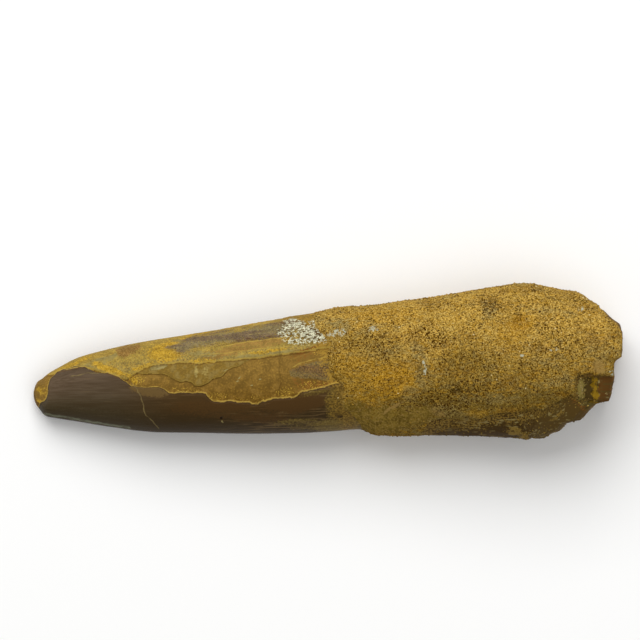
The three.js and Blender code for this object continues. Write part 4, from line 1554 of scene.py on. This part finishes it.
@dataclass
class Grains:
    """Sand grains standing out of the crust and scattered over the crown, as joined meshes."""

    body: bpy.types.Object
    crust: bpy.types.Object
    spacing: float = 0.21
    size: float = 0.105
    kinds: int = 6
    per_piece: int = 9900
    floor_gap: float = 0.12
    chalky_share: float = 0.55

    @staticmethod
    def surface(thing: bpy.types.Object) -> tuple[Array, Array, dict[str, Array]]:
        """Reads the faces of a piece.

        Args:
            thing: the piece.

        Returns:
            The faces' centres in metres, their normals, and the piece's fields there.
        """
        mesh = thing.data
        count = len(mesh.polygons)
        centre, normal = np.empty((count, 3)), np.empty((count, 3))
        mesh.polygons.foreach_get("center", centre.ravel())
        mesh.polygons.foreach_get("normal", normal.ravel())
        first, corner = np.empty(count, np.int64), np.empty(len(mesh.loops), np.int64)
        mesh.polygons.foreach_get("loop_start", first)
        mesh.loops.foreach_get("vertex_index", corner)
        fields = {}
        for layer in mesh.attributes:
            if layer.data_type == "FLOAT" and layer.domain == "POINT":
                values = np.empty(len(mesh.vertices), np.float32)
                layer.data.foreach_get("value", values)
                fields[layer.name] = values[corner[first]]
        return centre, normal, fields

    def cells(self, places: Array) -> Array:
        """The cell of a fine lattice that each place lies in."""
        return np.floor(places / (self.spacing * MM)).astype(np.int64)

    @staticmethod
    def luck(cells: Array, draw: int) -> Array:
        """A random number from 0 to 1 for each cell, the same in whatever order a mesh keeps its faces.

        Args:
            cells: rows of the cells' three indices.
            draw: the number of the draw.

        Returns:
            One number for each cell, below 1.
        """
        return np.minimum(0.5 + 0.5 * Noise.lattice(cells, GRAIN_SEED + 101 * draw), 0.999999)

    @classmethod
    def lucks(cls, cells: Array, draw: int, count: int) -> Array:
        """Several such numbers for each cell, from a draw and those after it."""
        return np.stack([cls.luck(cells, draw + n) for n in range(count)], axis=1)

    def sow(self, centre: Array, chance: Array) -> Array:
        """Picks faces for grains: no more than one to each cell, the one nearest to a random place in it.

        Args:
            centre: the faces' centres in metres.
            chance: the chance that a cell's face keeps its grain, for each face.

        Returns:
            Indices of the picked faces.
        """
        cells = self.cells(centre)
        aim = cells + self.lucks(cells, Draw.AIM, 3)
        order = np.argsort(np.linalg.norm(centre / (self.spacing * MM) - aim, axis=1))
        picked = order[np.unique(cells[order], axis=0, return_index=True)[1]]
        kept = self.luck(cells[picked], Draw.KEPT) < chance[picked]
        picked = picked[kept & (centre[picked, 2] > self.floor_gap * MM)]
        return picked[np.argsort(self.luck(cells[picked], Draw.ORDER))]

    @staticmethod
    def on_crust(near: dict[str, Array]) -> tuple[Array, dict[str, Array]]:
        """The rule for grains on the crust: few on its smooth parts and in its pits.

        Args:
            near: the crust's fields at its faces.

        Returns:
            The chance of a grain on each face, and the fields that it would take over.
        """
        bare = np.maximum(near["smooth"], 0.7 * near["tan"])
        chance = (near["cover"] > -0.05) * (1 - bare) * (1 - 0.9 * near["pit"])
        chance = chance * smoothstep(near["cover"], -1.2, 1.0)
        look = {name: near[name] for name in ("tone", "warm", "grey", "dim", "chalk", "gritty")}
        return chance * (0.45 + 0.4 * near["gritty"]), look | {"big": np.ones(len(bare))}

    @staticmethod
    def on_body(near: dict[str, Array]) -> tuple[Array, dict[str, Array]]:
        """The rule for grains on the tooth: in dust, beside the crust, in its gap and in the pulp cavity.

        Args:
            near: the body's fields at its faces.

        Returns:
            The chance of a grain on each face, and the fields that it would take over.
        """
        dusted = 0.04 * near["dust"] ** 2 * smoothstep(near["rise"], 0.85, 0.7)
        dusted = np.maximum(dusted, 0.5 * near["pale"]) * (near["enamel"] < -0.1)
        dusted = np.maximum(dusted, 0.8 * near["sandy"] ** 3)
        crumbs = near["root"] * smoothstep(near["cover"], -1.2, 0.2) * 0.7
        crumbs = np.maximum(crumbs, near["root"] * smoothstep(near["rise"], -0.8, -0.95) * 0.5)
        broken = np.max([near[name] for name in ("seam", "olive", "yellow", "gloss")], axis=0)
        dusted = np.maximum(dusted, np.maximum(crumbs, 0.6 * near["smear"]) * (broken < 0.1))
        window = np.maximum(near["seam"], near["granular"])
        chance = np.maximum(np.maximum(dusted, 0.9 * window) * (near["cover"] < 0.1), near["pulp"])
        look = {
            "tone": 0.35 - 0.2 * near["pulp"] - 0.25 * near["root"] + 0.8 * window,
            "warm": 0.5 * near["sandy"] * (1 - near["root"]),
            "grey": np.maximum(near["grey"], 0.1 * window),
            "dim": near["root"],
            "chalk": np.maximum(smoothstep(near["pale"], 0.3, 0.6) * near["chalky"], 0.2 * near["seam"]),
            "gritty": np.zeros(len(window)),
            "big": 0.65 + 0.35 * near["root"] - 0.3 * near["pale"],
        }
        return chance, look

    def seeds(self) -> tuple[Array, Array, dict[str, Array]]:
        """Picks the places of the grains on the crust and on the crown.

        Returns:
            Places and normals in metres, and the fields that the grains take over.
        """
        places, normals, looks = [], [], []
        for thing, rule in ((self.crust, self.on_crust), (self.body, self.on_body)):
            centre, normal, near = self.surface(thing)
            near["chalky"] = self.luck(self.cells(centre), Draw.CHALKY) < self.chalky_share
            chance, look = rule(near)
            picked = self.sow(centre, chance)
            places.append(centre[picked])
            normals.append(normal[picked])
            looks.append({name: values[picked] for name, values in look.items()})
        fields = {name: np.concatenate([look[name] for look in looks]) for name in looks[0]}
        return np.concatenate(places), np.concatenate(normals), fields

    def shapes(self, rng: np.random.Generator) -> tuple[Array, Array]:
        """Models a few grains by roughening small balls.

        Args:
            rng: the random numbers to use.

        Returns:
            The points of each kind of grain, and the faces that all kinds share.
        """
        bpy.ops.object.select_all(action="DESELECT")
        bpy.ops.mesh.primitive_ico_sphere_add(subdivisions=1, radius=1)
        ball = bpy.context.object
        points = np.array([v.co for v in ball.data.vertices])
        faces = np.array([list(p.vertices) for p in ball.data.polygons])
        bpy.data.objects.remove(ball)
        return np.array([points * rng.uniform(0.75, 1.2, (len(points), 1)) for _ in range(self.kinds)]), faces

    def build(self) -> list[bpy.types.Object]:
        """Makes the grains.

        Returns:
            The joined meshes.
        """
        place, normal, fields = self.seeds()
        shapes, faces = self.shapes(np.random.default_rng(GRAIN_SEED))
        cells, radius = self.cells(place), self.size * MM
        kind = (self.luck(cells, Draw.KIND) * self.kinds).astype(int)
        sizes = (0.65 + 0.9 * self.luck(cells, Draw.SIZE) ** 3) * fields.pop("big")
        stretch = mix(0.65, 1.35, self.lucks(cells, Draw.STRETCH, 3)[:, None]) * sizes[:, None, None]
        turns = self.lucks(cells, Draw.TURN, 4) - 0.5
        matrices = rotations(turns / np.linalg.norm(turns, axis=1, keepdims=True))
        points = np.einsum("nij,nkj->nki", matrices, shapes[kind] * stretch * radius)
        height = mix(-0.85, -0.2, self.luck(cells, Draw.HEIGHT)) * radius
        points += (normal * height[:, None])[:, None, :]
        # how far each point stands out of the stone, which the grains' material turns into painted shade and
        # highlight
        stand = np.einsum("nkj,nj->nk", points, normal) / radius
        points += place[:, None, :]
        points[..., 2] = np.maximum(points[..., 2], 0)
        fields["pick"] = self.luck(cells, Draw.PICK)
        fields = {name: np.repeat(values, points.shape[1]) for name, values in fields.items()}
        fields["stand"] = stand.ravel()
        log.info("%d grains", len(place))
        sand, made = GrainFinish().make(), []
        for number, start in enumerate(range(0, len(place), self.per_piece)):
            part = points[start : start + self.per_piece]
            corners = slice(start * points.shape[1], (start + self.per_piece) * points.shape[1])
            piece = self.join(f"sand_grains_{number + 1}", part, faces)
            for name, values in fields.items():
                add_field(piece, name, values[corners])
            piece.data.materials.append(sand)
            made.append(piece)
        return made

    @staticmethod
    def join(name: str, points: Array, faces: Array) -> bpy.types.Object:
        """Joins some grains into one mesh.

        Args:
            name: the piece's name.
            points: points of each grain.
            faces: the faces of one grain.

        Returns:
            The joined object.
        """
        count, corners = points.shape[:2]
        index = (faces[None] + (np.arange(count) * corners)[:, None, None]).reshape(-1, 3)
        mesh = bpy.data.meshes.new(name)
        mesh.vertices.add(count * corners)
        mesh.vertices.foreach_set("co", points.astype(np.float32).ravel())
        mesh.loops.add(index.size)
        mesh.loops.foreach_set("vertex_index", index.astype(np.int32).ravel())
        mesh.polygons.add(len(index))
        mesh.polygons.foreach_set("loop_start", np.arange(0, index.size, 3, dtype=np.int32))
        mesh.update(calc_edges=True)
        mesh.validate()
        thing = bpy.data.objects.new(name, mesh)
        bpy.context.scene.collection.objects.link(thing)
        return thing


def rotations(quaternions: Array) -> Array:
    """Turns unit quaternions into rotation matrices.

    Args:
        quaternions: rows of w, x, y and z.

    Returns:
        One matrix of three by three for each row.
    """
    w, x, y, z = quaternions.T
    rows = [
        [1 - 2 * (y * y + z * z), 2 * (x * y - z * w), 2 * (x * z + y * w)],
        [2 * (x * y + z * w), 1 - 2 * (x * x + z * z), 2 * (y * z - x * w)],
        [2 * (x * z - y * w), 2 * (y * z + x * w), 1 - 2 * (x * x + y * y)],
    ]
    return np.moveaxis(np.array(rows), 2, 0)


# ---------------------------------------------------------------- the studio
@dataclass
class Studio:
    """A pale floor, soft light from above and beyond the tooth, and a camera that looks straight down."""

    view_width: float = 75.56
    view_height_of_plane: float = 7.2
    distance: float = 900.0
    aim: tuple[float, float] = (-0.9, 4.75)
    sensor: float = 36.0
    floor_size: float = 3.0
    lamp_size: float = 0.6
    room_light: float = 0.3

    def build(self) -> None:
        """Sets up the floor, the lights and the camera."""
        scene = bpy.context.scene
        scene.view_settings.view_transform = "Standard"
        bpy.ops.object.select_all(action="DESELECT")
        bpy.ops.mesh.primitive_plane_add(size=self.floor_size, location=(0, 0, 0))
        floor = bpy.context.object
        floor.name = "floor"
        s = Sketch("matt_white_board")
        floor.data.materials.append(s.finish(s.add(Kind.SHADER, "#fcfcfb", 0.95)))
        self.lamp("key_light", Vector((-0.10, 0.42, 0.58)), 4.4)
        self.lamp("fill_light", Vector((0.25, -0.15, 0.70)), 1.4)
        scene.world = bpy.data.worlds.new("pale_room")
        scene.world.use_nodes = True
        room = scene.world.node_tree.nodes["Background"].inputs
        room["Color"].default_value = linear("#ffffff")
        room["Strength"].default_value = self.room_light
        camera = bpy.data.cameras.new("camera")
        camera.sensor_width = self.sensor
        camera.lens = self.sensor * self.distance / self.view_width
        camera.clip_start, camera.clip_end = 0.01, 10.0
        eye = bpy.data.objects.new("camera", camera)
        scene.collection.objects.link(eye)
        eye.location = Vector((*self.aim, self.distance + self.view_height_of_plane)) * MM
        scene.camera = eye

    def lamp(self, name: str, place: Vector, watts: float) -> None:
        """Hangs a square soft light that points at the tooth.

        Args:
            name: the light's name.
            place: where it hangs, in metres.
            watts: how strong it is.
        """
        light = bpy.data.lights.new(name, "AREA")
        light.size, light.energy = self.lamp_size, watts
        thing = bpy.data.objects.new(name, light)
        bpy.context.scene.collection.objects.link(thing)
        thing.location = place
        thing.rotation_mode = "QUATERNION"
        thing.rotation_quaternion = (-place).to_track_quat("-Z", "Y")


def main() -> None:
    """Builds the tooth, its crust and its grains, and lights them."""
    logging.basicConfig(level=logging.INFO, format="%(message)s")
    placer = ToothPlacer()
    body, crust = ToothBody(placer).build(), Crust(placer).build()
    pieces = [body, crust, *Grains(body, crust).build()]
    for piece in pieces:
        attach(piece, "root")
        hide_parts(NODE)
        log.info("%s: %d faces", piece.name, len(piece.data.polygons))
    Studio().build()


if __name__ == "__main__":
    main()
